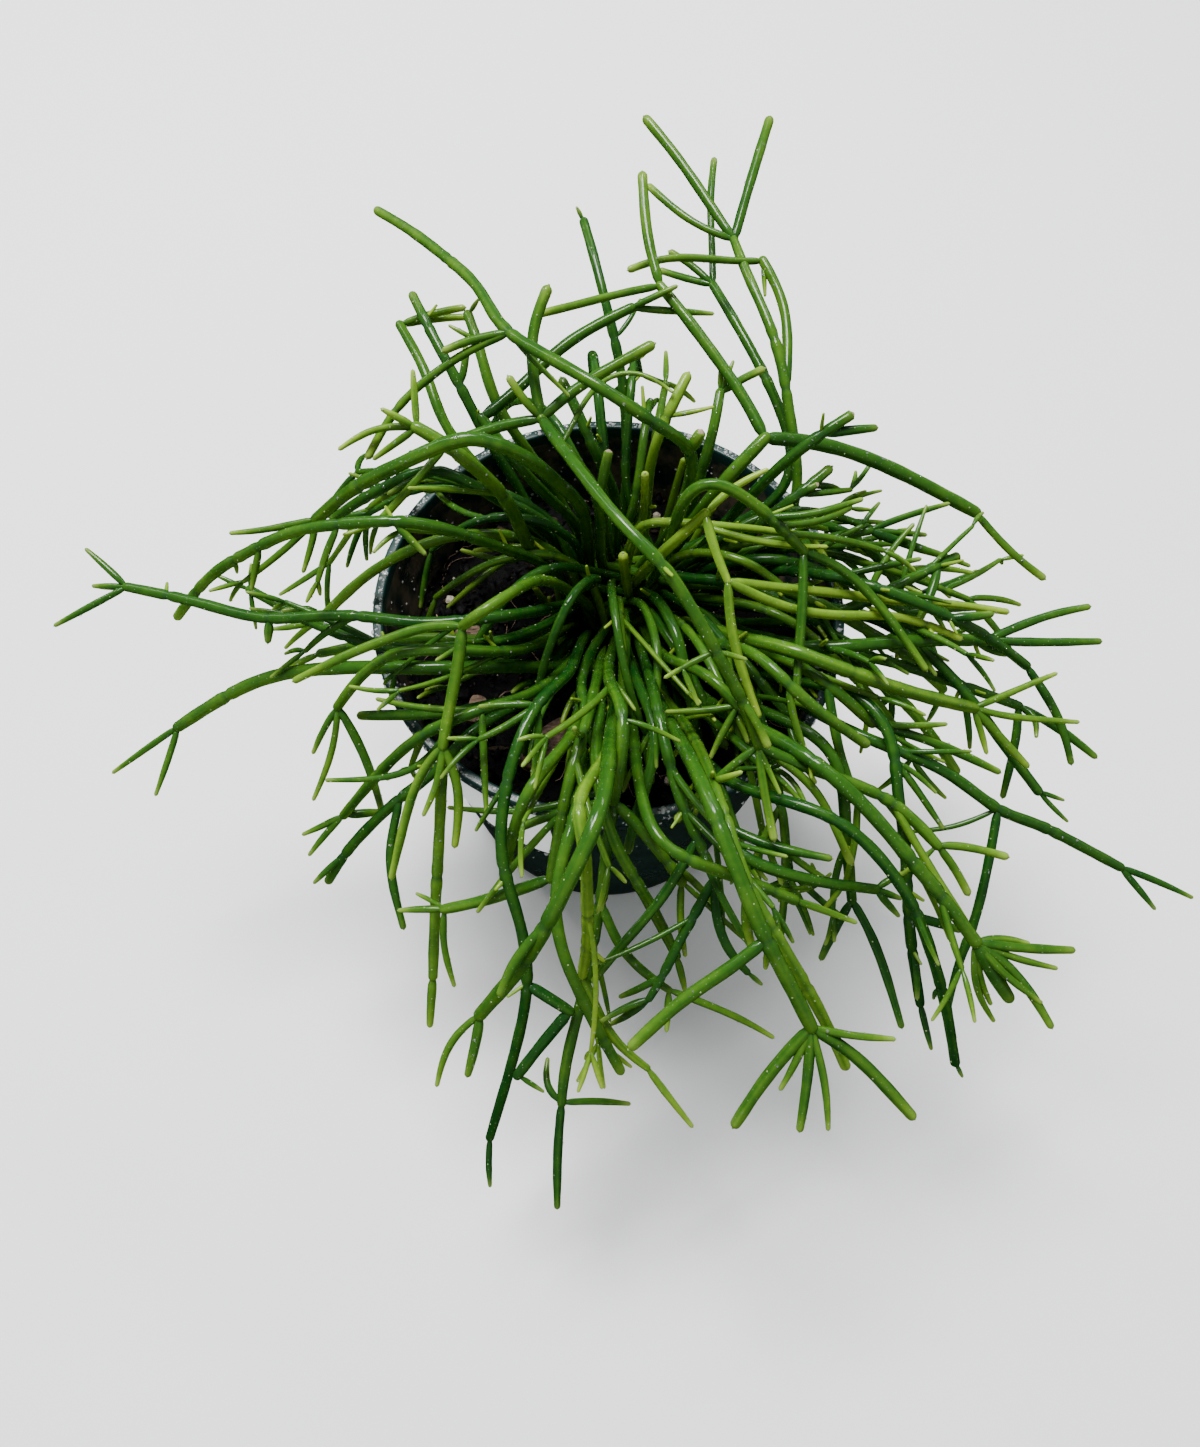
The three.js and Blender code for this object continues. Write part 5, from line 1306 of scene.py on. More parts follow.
def add_twigs(chains, chance):
    """Fine side twigs where the stems are crowded, each with room of its own."""
    crowd = Crowd(chains)
    for stem in [chain for chain in chains if chain.spray >= len(SPRAYS)]:
        add_forks(chains, crowd, stem, TWIG, MORE_FORKS, chance)
    bearers = [chain for chain in chains if chain.radius >= SLIM and len(chain.points) > BEARER_POINTS]
    weights = [len(chain.points) for chain in bearers]
    grown = 0
    for parent in chance.choices(bearers, weights, k=TWIG_TRIES):
        first = FIRST_ON_STEM if parent.parent is None else FIRST_ON_BRANCH
        if grown == TWIG_COUNT or first >= len(parent.points):
            continue
        mark = chance.randrange(first, len(parent.points))
        radius = chance.choice((TWIG, TWIG, FINE))
        length = chance.uniform(*TWIG_LENGTHS)
        twig = new_twig(crowd, parent, mark, radius, length, TWIG_ANGLES, chance)
        if twig is None or not crowd.is_crowded(twig.points[-1]):
            continue
        if math.dist(twig.points[-1][:2], ROOT_CROWN) < TWIG_FROM_CROWN:
            continue
        chains.append(twig)
        crowd.add(twig)
        grown += 1
        if length > FORKED_LENGTH and chance.random() < FORKED_SHARE:
            add_forks(chains, crowd, twig, FINE, TWIG_FORKS, chance)


def add_crown_shoots(chains, chance):
    """Short young shoots and cut stubs that stand at the crown, between the stems."""
    crowd = Crowd(chains)
    grown = 0
    while grown < SHOOT_COUNT:
        turn = chance.uniform(0, 2 * math.pi)
        out = np.array([math.cos(turn), math.sin(turn), 0])
        foot = np.array([*ROOT_CROWN, SOIL_TOP - SHOOT_DEPTH]) + out * chance.uniform(*SHOOT_SPREAD)
        lean = out * chance.uniform(*SHOOT_LEAN) + [0, 0, 1]
        length = chance.uniform(*SHOOT_LENGTHS)
        points = foot + lean * length * np.linspace(0, 1, SHOOT_POINTS)[:, None]
        gap = np.linalg.norm(points[:, None] - crowd.places[None], axis=2)
        radius = chance.choice((MAIN, SLIM, TWIG))
        if (gap < crowd.radii[None] + radius).any():
            continue
        end = CUT if chance.random() < SHOOT_CUT_SHARE else ()
        shoot = Chain(SHOOTS, None, 0, radius, points, end_pixel=end)
        chains.append(shoot)
        crowd.add(shoot)
        grown += 1


def mark_joints(chains, chance):
    """Where each chain is jointed, in millimetres along it: at its branches, and in between."""
    for chain in chains:
        steps = np.linalg.norm(np.diff(chain.points, axis=0), axis=1)
        chain.reach = np.concatenate([[0], np.cumsum(steps)])
        chain.length = chain.reach[-1]
    for chain in chains:
        parent = chain.parent
        if parent and chain.mark == len(parent.points) - 1:
            parent.bears = True
        elif parent and chain.mark > 0:
            place = parent.reach[chain.mark]
            if all(abs(place - other) > BRANCH_GAP for other in parent.joints):
                parent.joints.append(place)
    for chain in chains:
        place = FIRST_JOINT if chain.parent is None else 0
        while True:
            place += chance.uniform(*SEGMENT_LENGTHS)
            if place > chain.length - LAST_JOINT:
                break
            if all(abs(place - other) > JOINT_GAP for other in chain.joints):
                chain.joints.append(place)


def is_blunt(chain):
    """Whether a thin run belongs to the tall far sprays, whose ends stay thick to the tip."""
    far = 0 <= chain.spray < len(SPRAYS) and SPRAYS[chain.spray][0].startswith("far")
    return far and FINE < chain.radius < MAIN


def grow_all():
    """All the runs of the plant: the sprays, more stems between them, twigs and crown shoots."""
    chains = grow_plant()
    ease_apart(chains, EASE_ROUNDS)
    chains += more_stems(len(SPRAYS), random.Random(SEEDS["more"]))
    ease_apart(chains, MORE_ROUNDS, held=len(SPRAYS))
    settle(chains)
    add_twigs(chains, random.Random(SEEDS["twigs"]))
    add_crown_shoots(chains, random.Random(SEEDS["shoots"]))
    mark_joints(chains, random.Random(SEEDS["joints"]))
    return chains


def shape_along(chain, place, chance):
    """The radius at each place along a chain."""
    share = place / chain.length
    radius = np.full(len(place), chain.radius * FULLNESS)
    if is_blunt(chain):
        radius *= BLUNT_FULLNESS * np.interp(share, *BLUNT_SHAPE)
    elif chain.radius <= TWIG and not chain.bears:
        radius *= np.interp(share, *TWIG_SHAPE)
    else:
        radius *= np.interp(share, *(SLIM_SHAPE if chain.radius < MAIN else STEM_SHAPE))
    if chain.parent:
        radius *= NECK + (1 - NECK) * smooth_step(place / NECK_LENGTH)
    for joint in chain.joints:
        offset = np.abs(place - joint)
        radius *= 1 - WAIST * bell(offset, WAIST_LENGTH) + SWELL * bell(offset - SWELL_OFFSET, SWELL_LENGTH)
    start = chance.uniform(0, 2 * math.pi)
    long_share, long_length = LONG_WAVE
    short_share, short_length = SHORT_WAVE
    wave = 1 + long_share * np.sin(place / long_length + start)
    radius *= wave + short_share * np.sin(place / short_length + 2 * start)
    return radius


def age_and_light_along(chain, tone, place, heights):
    """How old the stem looks at each place, 1 where dark and old and 0 where yellow-green and new, made
    paler at a stem's foot as painted light and darker below the rim as painted shade.
    """
    share = place / chain.length
    age = AGE - AGE_BY_TONE * tone - AGE_BY_LEVEL * min(chain.level, AGED_LEVELS)
    age = age + AGE_ALONG * (0.5 - share) * (1 if chain.level else AGE_ALONG_STEM)
    if chain.radius <= TWIG:
        age = age - TWIG_YOUTH
    if not chain.bears:
        age = age - END_YOUTH * smooth_step((place - chain.length + END_LENGTH) / END_LENGTH)
    # Painted light: the foot of each stem is made paler, to lift the shade of the crown
    if chain.parent is None:
        age = age - FOOT_PAINTED_LIGHT * (1 - smooth_step((place - ROOT_DEPTH) / FOOT_LIGHT_LENGTH))
    # Painted shade, along with older growth: darker the further a place hangs below the rim
    below = (POT_HEIGHT + SHADE_STARTS_ABOVE_RIM - heights) / SHADE_BELOW_RIM_DEPTH
    return np.clip(age + SHADE_AND_AGE_BELOW_RIM * smooth_step(below), 0, 1)


def ring_along(chain, place):
    """How strongly the dark ring of a joint shows at each place."""
    ring = sum((bell(place - joint, RING_WIDTH) for joint in chain.joints), np.zeros(len(place)))
    if chain.parent:
        ring = ring + BASE_RING * bell(place, BASE_RING_WIDTH)
    return np.clip(ring, 0, 1)


def tip_along(chain, place):
    """How strongly the pale colour of a growing end shows at each place."""
    strength = 0 if chain.bears else 1 if chain.radius <= TWIG else THICK_TIP
    return strength * smooth_step((place - chain.length + TIP_LENGTH) / TIP_LENGTH)


def dome(centre, outward, radius, height, sides):
    """A small closed bump on a surface, sunk a little into it."""
    outward = outward / np.linalg.norm(outward)
    side = np.cross(outward, DOME_SIDE)
    side = side / np.linalg.norm(side)
    other = np.cross(outward, side)
    angles = np.arange(sides) * 2 * math.pi / sides
    circle = side * np.cos(angles)[:, None] + other * np.sin(angles)[:, None]
    places = [centre + outward * height * lift + circle * radius * width for lift, width in DOME_RINGS]
    places.append([centre + outward * height])
    faces = tube_faces(len(DOME_RINGS), sides)[:-1]
    top = len(DOME_RINGS) * sides
    low = top - sides
    faces.extend((low + k, low + (k + 1) % sides, top) for k in range(sides))
    return np.vstack(places), faces


def add_areoles(parts, chain, points, radii, place, chance):
    """Pale dots in a spiral up the stem, each a small woolly cushion."""
    _, normals, sideways = frames_along(points)
    turn = chance.uniform(0, 2 * math.pi)
    along = chance.uniform(AREOLE_FIRST, AREOLE_SPACING)
    while along < chain.length - AREOLE_LAST:
        i = int(np.searchsorted(place, along))
        outward = normals[i] * math.cos(turn) + sideways[i] * math.sin(turn)
        size = chance.uniform(*AREOLE_SIZES)
        centre = points[i] + outward * radii[i] * AREOLE_SEAT
        places, faces = dome(centre, outward, size, size * AREOLE_LIFT, AREOLE_SIDES)
        parts.add(places, faces, AREOLE)
        turn += GOLDEN_ANGLE
        along += AREOLE_SPACING * chance.uniform(*AREOLE_UNEVEN)


def add_dried_cap(parts, end, tangent, radius, chance):
    """The shrunken, corky plug of a cut end."""
    points = end + tangent * np.array(DRIED_REACH)[:, None]
    widths = radius * np.array(DRIED_WIDTHS) * chance.uniform(*DRIED_UNEVEN)
    places, faces, _ = rounded_tube(points, widths, DRIED_SIDES, DRIED_BULGE, DRIED_LOBES)
    parts.add(places, faces, DRIED)


def add_tip(parts, end, tangent, radius):
    """The small pale point in which a growing end finishes."""
    centre = end + tangent * radius * POINT_SEAT
    places, faces = dome(centre, tangent, radius * POINT_WIDTH, radius * POINT_HEIGHT, POINT_SIDES)
    parts.add(places, faces, AREOLE)


def add_buds(parts, chain, tone, chance):
    """Short new stubs around some joints."""
    share = np.linspace(0, 1, BUD_RINGS)[:, None]
    for joint in chain.joints:
        if chance.random() > BUD_SHARE or joint < BUD_FROM:
            continue
        i = int(np.searchsorted(chain.reach, joint))
        i = min(max(i, 1), len(chain.points) - 2)
        along = chain.points[i + 1] - chain.points[i - 1]
        along /= np.linalg.norm(along)
        side = np.cross(along, [chance.uniform(-1, 1), chance.uniform(-1, 1), chance.uniform(0.2, 1)])
        side /= np.linalg.norm(side)
        length = chance.uniform(*BUD_LENGTHS)
        lean = side * BUD_OUT + along * BUD_ALONG
        start = chain.points[i] + side * chain.radius * BUD_SEAT
        points = start + lean * length * share + np.array([0, 0, BUD_LIFT]) * share**2
        radii = chance.uniform(*BUD_WIDTHS) * np.interp(share[:, 0], *BUD_SHAPE)
        places, faces, rings = rounded_tube(points, radii, BUD_SIDES)
        outward = np.repeat(np.linspace(0, 1, rings), BUD_SIDES)
        age = np.clip(BUD_AGE - tone * BUD_AGE_BY_TONE - BUD_AGE_ALONG * outward, 0, 1)
        parts.add(places, faces, STEM, age=age, streak=BUD_STREAK)


def draw_chain(parts, chain, tone, chance):
    """One run of stem with its joints, its end and its areoles."""
    sides = sides_of(chain.radius)
    points, _ = smooth(list(chain.points), RING_STEP)
    steps = np.linalg.norm(np.diff(points, axis=0), axis=1)
    place = np.concatenate([[0], np.cumsum(steps)])
    place *= chain.length / place[-1]
    radii = shape_along(chain, place, chance)
    is_cut = chain.end_pixel in CUT_ENDS
    places, faces, rings = rounded_tube(points, radii, sides, CUT_BULGE if is_cut else GROWING_BULGE)
    place = np.concatenate([place, np.full(rings - len(points), chain.length)])
    heights = places.reshape(rings, sides, 3)[:, :, 2].mean(1)
    parts.add(
        places,
        faces,
        STEM,
        age=np.repeat(age_and_light_along(chain, tone, place, heights), sides),
        ring=np.repeat(ring_along(chain, place), sides),
        tip=np.repeat(tip_along(chain, place), sides),
        streak=np.tile([chance.random() for _ in range(sides)], rings),
    )
    tangent = points[-1] - points[-2]
    tangent /= np.linalg.norm(tangent)
    if is_cut:
        add_dried_cap(parts, points[-1], tangent, radii[-1], chance)
    elif not chain.bears:
        add_tip(parts, points[-1], tangent, radii[-1])
    add_areoles(parts, chain, points, radii, place, chance)
    return points, radii


def make_spray(name, index, tone, chains, materials, surfaces):
    """One spray as one piece. It adds the surfaces that it offers to water."""
    parts = MeshParts("age", "ring", "tip", "streak")
    chance = random.Random(SEEDS["sprays"] + index)
    for chain in chains:
        if chain.spray == index:
            surfaces.append((chain, *draw_chain(parts, chain, tone, chance)))
            add_buds(parts, chain, tone, chance)
    return object_of(name, parts, materials)


def make_sprays(chains, materials):
    """The sprays in place of their plain solids, then the others, and all their surfaces."""
    surfaces = []
    for index, (name, _, tone, _, _, _) in enumerate(SPRAYS):
        piece = make_spray("spray_" + name, index, tone, chains, materials, surfaces)
        fitted(piece, frame_slots["stem_" + name], "stem_" + name)
    chance = random.Random(SEEDS["more"])
    for index in range(len(SPRAYS), max(chain.spray for chain in chains) + 1):
        tone = chance.choice((DARK, DARK, GREEN, GREEN, FRESH))
        piece = make_spray(f"spray_between_{index}", index, tone, chains, materials, surfaces)
        fitted(piece, "stem_old" if tone == DARK else "stem_green")
    return surfaces


def make_crown_shoots(chains, materials):
    """The shoots and stubs at the crown, as one piece."""
    parts = MeshParts("age", "ring", "tip", "streak")
    chance = random.Random(SEEDS["shoots"])
    for chain in chains:
        if chain.spray == SHOOTS:
            draw_chain(parts, chain, SHOOT_TONE, chance)
    return fitted(object_of("crown_shoots", parts, materials), "stem_green")


def turned(outline, segments):
    """Places and faces of a closed surface, turned from an outline that starts and ends on the axis."""
    angles = np.arange(segments) * 2 * math.pi / segments
    circle = np.stack([np.cos(angles), np.sin(angles)], 1)
    inner = np.array(outline[1:-1], float)
    places = np.empty((len(inner), segments, 3))
    places[..., :2] = inner[:, 0, None, None] * circle[None]
    places[..., 2] = inner[:, 1, None]
    faces = tube_faces(len(inner), segments)[:-2]
    count = len(inner) * segments
    last = count - segments
    for k in range(segments):
        after = (k + 1) % segments
        faces.append((count, after, k))
        faces.append((count + 1, last + k, last + after))
    ends = [(0, 0, outline[0][1]), (0, 0, outline[-1][1])]
    return np.vstack([places.reshape(-1, 3), ends]), faces


def arc(centre, radius, start, end, steps=4):
    """Points of a round stretch of an outline, between two angles in degrees."""
    turns = np.radians(np.linspace(start, end, steps + 1))
    return [(centre[0] + radius * math.cos(turn), centre[1] + radius * math.sin(turn)) for turn in turns]


def pot_outline():
    """The pot's section, from the axis round its foot, wall, rim and inside back to the axis."""
    inside = RIM_RADIUS - LIP_WIDTH
    inner_base = BASE_RADIUS - WALL
    # The straight stretches end a little short of the round ones
    rise = np.linspace(FOOT_ROUND + 1, SHOULDER - 0.6, WALL_RINGS)
    fall = np.linspace(SHOULDER - 1, FLOOR + 2, WALL_RINGS)
    return [
        (0, 0),
        (BASE_RADIUS - BASE_INSET, 0),
        *arc((BASE_RADIUS - FOOT_ROUND, FOOT_ROUND), FOOT_ROUND, -90, -10),
        *[(wall_radius(z), z) for z in rise],
        *arc((RIM_RADIUS - BAND_ROUND, SHOULDER + BAND_ROUND), BAND_ROUND, -90, 0),
        *arc((RIM_RADIUS - LIP_ROUND, POT_HEIGHT - LIP_ROUND), LIP_ROUND, 0, 90),
        *arc((inside + LIP_ROUND, POT_HEIGHT - LIP_ROUND), LIP_ROUND, 90, 165),
        *[(float(pot_inner_radius(z)), z) for z in fall],
        *arc((inner_base - FOOT_ROUND, FLOOR + FOOT_ROUND), FOOT_ROUND, -10, -90),
        (0, FLOOR),
    ]


def cut_away(piece, cutter):
    """Cuts one object out of another and keeps only the result."""
    cut = piece.modifiers.new("cut", "BOOLEAN")
    cut.operation = "DIFFERENCE"
    cut.solver = "EXACT"
    cut.object = cutter
    bpy.context.view_layer.update()
    whole = piece.evaluated_get(bpy.context.evaluated_depsgraph_get())
    mesh = bpy.data.meshes.new_from_object(whole)
    piece.modifiers.clear()
    piece.data = mesh
    bpy.data.objects.remove(cutter)


def make_pot(material):
    """The nursery pot, with its rolled rim band and its drainage holes."""
    parts = MeshParts()
    parts.add(*turned(pot_outline(), POT_SEGMENTS))
    pot = object_of("nursery_pot", parts, [material])
    low, high = -DRAIN_PAST, FLOOR + DRAIN_PAST
    outline = [(0, low), (DRAIN_RADIUS, low), (DRAIN_RADIUS, high), (0, high)]
    places, faces = turned(outline, DRAIN_SEGMENTS)
    holes = MeshParts()
    for index in range(DRAIN_COUNT):
        turn = 2 * math.pi * (index + 0.5) / DRAIN_COUNT
        holes.add(places + [DRAIN_RING * math.cos(turn), DRAIN_RING * math.sin(turn), 0], faces)
    cut_away(pot, object_of("drainage_cut", holes, [material]))
    return fitted(pot, "pot_plastic", "pot")


def label_side(lift):
    """Places of one side of the label, column by column, drawn in at its round corners."""
    start, end = np.radians(LABEL_EDGES)
    low, high = LABEL_HEIGHTS
    radius = wall_radius((low + high) / 2)
    width = (end - start) * radius
    places = []
    for column in range(LABEL_COLUMNS + 1):
        across = width * (0.5 - 0.5 * math.cos(math.pi * column / LABEL_COLUMNS))
        inset = max(0, LABEL_CORNER - min(across, width - across))
        trim = LABEL_CORNER - math.sqrt(LABEL_CORNER**2 - inset**2)
        turn = start + across / radius
        for row in range(LABEL_ROWS + 1):
            z = low + trim + (high - low - 2 * trim) * row / LABEL_ROWS
            out = wall_radius(z) + LABEL_GAP + lift
            places.append((out * math.cos(turn), out * math.sin(turn), z))
    return places


def label_faces():
    """Faces of the label's two sides, and of the thin edge between them."""
    step = LABEL_ROWS + 1
    deep = (LABEL_COLUMNS + 1) * step
    faces = []
    for column in range(LABEL_COLUMNS):
        for row in range(LABEL_ROWS):
            a = column * step + row
            b = a + step
            faces.append((a, a + 1, b + 1, b))
            faces.append((deep + a, deep + b, deep + b + 1, deep + a + 1))
    edge = list(range(step))
    edge += [column * step + LABEL_ROWS for column in range(1, LABEL_COLUMNS + 1)]
    edge += [LABEL_COLUMNS * step + row for row in range(LABEL_ROWS - 1, -1, -1)]
    edge += [column * step for column in range(LABEL_COLUMNS - 1, 0, -1)]
    for here, there in zip(edge, edge[1:] + edge[:1]):
        faces.append((here, deep + here, deep + there, there))
    return faces


def make_label(material):
    """The blank white label, curved round the front left of the wall."""
    parts = MeshParts()
    parts.add(np.array(label_side(0.0) + label_side(LABEL_THICKNESS)), label_faces())
    return fitted(object_of("label_sheet", parts, [material]), frame_slots["blank_label"], "blank_label")


def rough_noise(place, scale, octaves, seed):
    """A soft random value for a place in millimetres, from about -1 to 1."""
    return noise.fractal(Vector(place) * scale + Vector((seed, -seed, 0.5 * seed)), 0.8, 2.1, octaves)


def soil_height(x, y):
    """The height of the mix: a low mound at the crown, with crumbs and hollows."""
    away = math.hypot(x - ROOT_CROWN[0], y - ROOT_CROWN[1])
    mound = CROWN_MOUND * math.exp(-((away / CROWN_RADIUS) ** 2))
    clods = CLOD_HEIGHT * rough_noise((x, y, 0), *CLOD_NOISE)
    crumbs = CRUMB_HEIGHT * abs(rough_noise((x, y, 0), *CRUMB_NOISE))
    return SOIL_TOP - SOIL_SINK + mound + clods + crumbs


def make_soil(material):
    """The potting mix: turned, with its top raised into crumbs and hollows."""
    bottom = FLOOR + SOIL_CLEARANCE
    foot = bottom + SOIL_BEVEL
    shoulder = SOIL_TOP - SOIL_EDGE_DEPTH
    edge = pot_inner_radius(shoulder) - SOIL_CLEARANCE
    wall = np.linspace(foot, shoulder, SOIL_WALL_RINGS)
    outline = [(0, bottom), (pot_inner_radius(foot) - SOIL_CLEARANCE - SOIL_BEVEL, bottom)]
    outline += [(pot_inner_radius(z) - SOIL_CLEARANCE, z) for z in wall]
    outline += [(edge * share, SOIL_TOP) for share in np.linspace(1, 1 / SOIL_RINGS, SOIL_RINGS)]
    outline.append((0, SOIL_TOP))
    places, faces = turned([(float(r), float(z)) for r, z in outline], SOIL_SEGMENTS)
    for place in places:
        if place[2] > SOIL_TOP - SOIL_SKIN:
            place[2] = soil_height(place[0], place[1])
    parts = MeshParts()
    parts.add(places, faces)
    return fitted(object_of("potting_mix_crumbly", parts, [material]), "potting_mix", "potting_mix")


def ball(fineness):
    """Places and triangles of a ball of radius 1."""
    mesh = bmesh.new()
    bmesh.ops.create_icosphere(mesh, subdivisions=fineness, radius=1)
    places = np.array([corner.co[:] for corner in mesh.verts])
    faces = [tuple(corner.index for corner in face.verts) for face in mesh.faces]
    mesh.free()
    return places, faces


def skewed_size(chance, smallest, largest, rate):
    """A random size, mostly near the smallest."""
    return min(smallest + chance.expovariate(rate), largest)


def crumb_places(whole, size, chance):
    """The places of one crumb: a ball made rough, stretched, tilted and turned."""
    stretch = np.array([1, chance.uniform(0.5, 0.95), chance.uniform(0.35, 0.75)])
    if chance.random() > ROUND_SHARE:
        stretch = np.array([1.6, chance.uniform(0.35, 0.6), chance.uniform(0.2, 0.4)])
    shift = chance.uniform(0, 90)
    rough = np.array([1 + CRUMB_ROUGHNESS * rough_noise(place, 0.9, 2, shift) for place in whole])
    tilt = np.array(Matrix.Rotation(chance.uniform(-CRUMB_TILT, CRUMB_TILT), 3, "X"))
    spin = np.array(Matrix.Rotation(chance.uniform(0, 2 * math.pi), 3, "Z"))
    shaped = whole * rough[:, None] * stretch * size * 0.5
    return shaped @ (spin @ tilt).T


def make_crumbs(name, count, sizes, fineness, materials):
    """Loose crumbs of peat, bark and a little perlite, strewn over the mix."""
    whole, whole_faces = ball(fineness)
    chance = random.Random(SEEDS[name])
    smallest, largest = sizes
    parts = MeshParts("tone")
    for _ in range(count):
        reach = CRUMB_REACH * math.sqrt(chance.random())
        turn = chance.uniform(0, 2 * math.pi)
        x, y = reach * math.cos(turn), reach * math.sin(turn)
        size = skewed_size(chance, smallest, largest, CRUMB_SKEW / (largest - smallest))
        places = crumb_places(whole, size, chance)
        lift = soil_height(x, y) + size * CRUMB_LIFT
        tone = chance.random() ** 1.6
        material = 1 if chance.random() > PERLITE_FROM and size < PERLITE_LARGEST else 0
        parts.add(places + [x, y, lift], whole_faces, material, tone=tone)
    return fitted(object_of(name, parts, materials), "potting_mix")


def fibre_points(chance):
    """The points of one curled fibre, which ends where it comes to the wall."""
    reach = FIBRE_START * math.sqrt(chance.random())
    turn = chance.uniform(0, 2 * math.pi)
    place = np.array([reach * math.cos(turn), reach * math.sin(turn)])
    heading = chance.uniform(0, 2 * math.pi)
    curl = chance.uniform(-FIBRE_CURL, FIBRE_CURL)
    points = []
    for _ in range(chance.randint(*FIBRE_STEPS)):
        lift = 0.35 + 0.5 * chance.random()
        points.append((place[0], place[1], soil_height(*place) + lift))
        heading += curl + chance.uniform(-FIBRE_WANDER, FIBRE_WANDER)
        place = place + FIBRE_STEP * np.array([math.cos(heading), math.sin(heading)])
        if np.hypot(*place) > FIBRE_REACH:
            break
    return np.array(points)


def make_fibres(material):
    """Thin dry root and peat fibres that lie on the mix."""
    chance = random.Random(SEEDS["fibres"])
    parts = MeshParts("tone")
    for _ in range(FIBRE_COUNT):
        points = fibre_points(chance)
        if len(points) < SHORTEST_FIBRE:
            continue
        radii = chance.uniform(*FIBRE_WIDTHS) * np.linspace(1, 0.5, len(points))
        places, faces, _ = rounded_tube(points, radii, FIBRE_SIDES)
        parts.add(places, faces, 0, tone=0.5 + 0.5 * chance.random())
    return fitted(object_of("dry_fibres", parts, [material]), "bark")


def boxed(places, power):
    """A ball drawn out towards a block with rounded edges."""
    size = (np.abs(places) ** power).sum(1) ** (1 / power)
    return places / size[:, None]


def split_place(a, b, c, seed):
    """A place of a chip's block, moved for its lumps, its grain and its splintered layers."""
    grain = rough_noise((0.35 * a, 3.2 * b, 3.2 * c), 1.6, 4, seed)
    lump = rough_noise((a, b, c), 0.9, 2, 40 + seed)
    step = 0.06 * math.floor(3 * rough_noise((0.5 * a, 1.4 * b, 0), 1, 1, 70 + seed))
    return (a * (1 + 0.10 * lump), b * (1 + 0.16 * lump), c * (1 + 0.14 * grain + 2 * step))


def make_chips(material):
    """Bark chips with a layered, splintered grain along their length."""
    for seed, (name, ((x, y), size, turn)) in enumerate(CHIPS.items()):
        places, faces = ball(CHIP_FINENESS)
        places = boxed(places, CHIP_SQUARENESS)
        places = np.array([split_place(*place, seed) for place in places]) * np.array(size) / 2
        spin = np.array(Matrix.Rotation(math.radians(turn), 3, "Z"))
        middle = [x, y, SOIL_TOP + LUMP_CLEARANCE + size[2] / 2]
        parts = MeshParts("tone")
        parts.add(places @ spin.T + middle, faces, 0, tone=CHIP_TONE + CHIP_TONE_STEP * seed)
        fitted(object_of(name + "_split", parts, [material]), frame_slots[name], name)


def make_perlite(material):
    """Perlite grains: pitted, foamed stone."""
    for seed, (name, ((x, y), size)) in enumerate(PERLITE.items()):
        places, faces = ball(PERLITE_FINENESS)
        places = boxed(places, PERLITE_SQUARENESS)
        pits = [1 + PERLITE_PITS * rough_noise(place, 1.3, 3, seed) for place in places]
        places = places * np.array(pits)[:, None] * size / 2
        parts = MeshParts()
        parts.add(places + [x, y, SOIL_TOP + LUMP_CLEARANCE + size / 2], faces)
        fitted(object_of(name + "_foamed", parts, [material]), frame_slots[name], name)


def pot_bead_place(chance):
    """A random place and outward direction for a water bead on the pot."""
    turn = chance.uniform(0, 2 * math.pi)
    across = np.array([math.cos(turn), math.sin(turn), 0])
    kind = chance.random()
    if kind < ON_RIM_TOP:
        reach = chance.uniform(RIM_RADIUS - LIP_WIDTH + BEAD_MARGIN, RIM_RADIUS - BEAD_MARGIN)
        return across * reach + [0, 0, POT_HEIGHT], np.array([0, 0, 1.0])
    if kind < ON_BAND:
        z = chance.uniform(SHOULDER + BEAD_MARGIN, POT_HEIGHT - BEAD_MARGIN)
        return across * RIM_RADIUS + [0, 0, z], across
    if kind < ON_INNER_WALL:
        first, deep = INNER_BEAD_DEPTHS
        z = POT_HEIGHT - first - deep * chance.random()
        return across * pot_inner_radius(z) + [0, 0, z], -across + [0, 0, WALL_LEAN]
    first, deep = OUTER_BEAD_DEPTHS
    z = SHOULDER - first - deep * chance.random() ** OUTER_BEAD_SKEW
    return across * wall_radius(z) + [0, 0, z], across - [0, 0, WALL_LEAN]


def make_pot_water(material):
    """Beads of water on the pot's rim and walls."""
    chance = random.Random(SEEDS["pot_water"])
    parts = MeshParts()
    for _ in range(POT_BEADS):
        centre, outward = pot_bead_place(chance)
        size = skewed_size(chance, *POT_BEAD_SIZES)
        height = size * chance.uniform(*POT_BEAD_HEIGHTS)
        parts.add(*dome(centre, outward, size, height, POT_BEAD_SIDES))
    return fitted(object_of("water_beads_on_pot", parts, [material]), "pot_plastic")


def make_stem_water(surfaces, material):
    """Fine beads of water on the upper sides of the stems."""
    chance = random.Random(SEEDS["stem_water"])
    parts = MeshParts()
    surfaces = [surface for surface in surfaces if len(surface[1]) > WET_POINTS]
    weights = [chain.length * chain.radius for chain, _, _ in surfaces]
    for _, points, radii in chance.choices(surfaces, weights, k=STEM_BEADS):
        i = chance.randrange(2, len(points) - 2)
        along = points[i + 1] - points[i - 1]
        along /= np.linalg.norm(along)
        up = np.array([0, 0, 1.0]) - along * along[2]
        if np.linalg.norm(up) < STEEPEST_WET or points[i][2] < SOIL_TOP + STEM_BEAD_ABOVE_SOIL:
            continue
        up /= np.linalg.norm(up)
        side = np.cross(along, up)
        turn = chance.gauss(0, STEM_BEAD_SPREAD)
        outward = up * math.cos(turn) + side * math.sin(turn)
        size = skewed_size(chance, *STEM_BEAD_SIZES)
        centre = points[i] + outward * radii[i] * STEM_BEAD_SEAT
        parts.add(*dome(centre, outward, size, size * STEM_BEAD_HEIGHT, STEM_BEAD_SIDES))
    return fitted(object_of("water_beads_on_stems", parts, [material]), "stem_green")


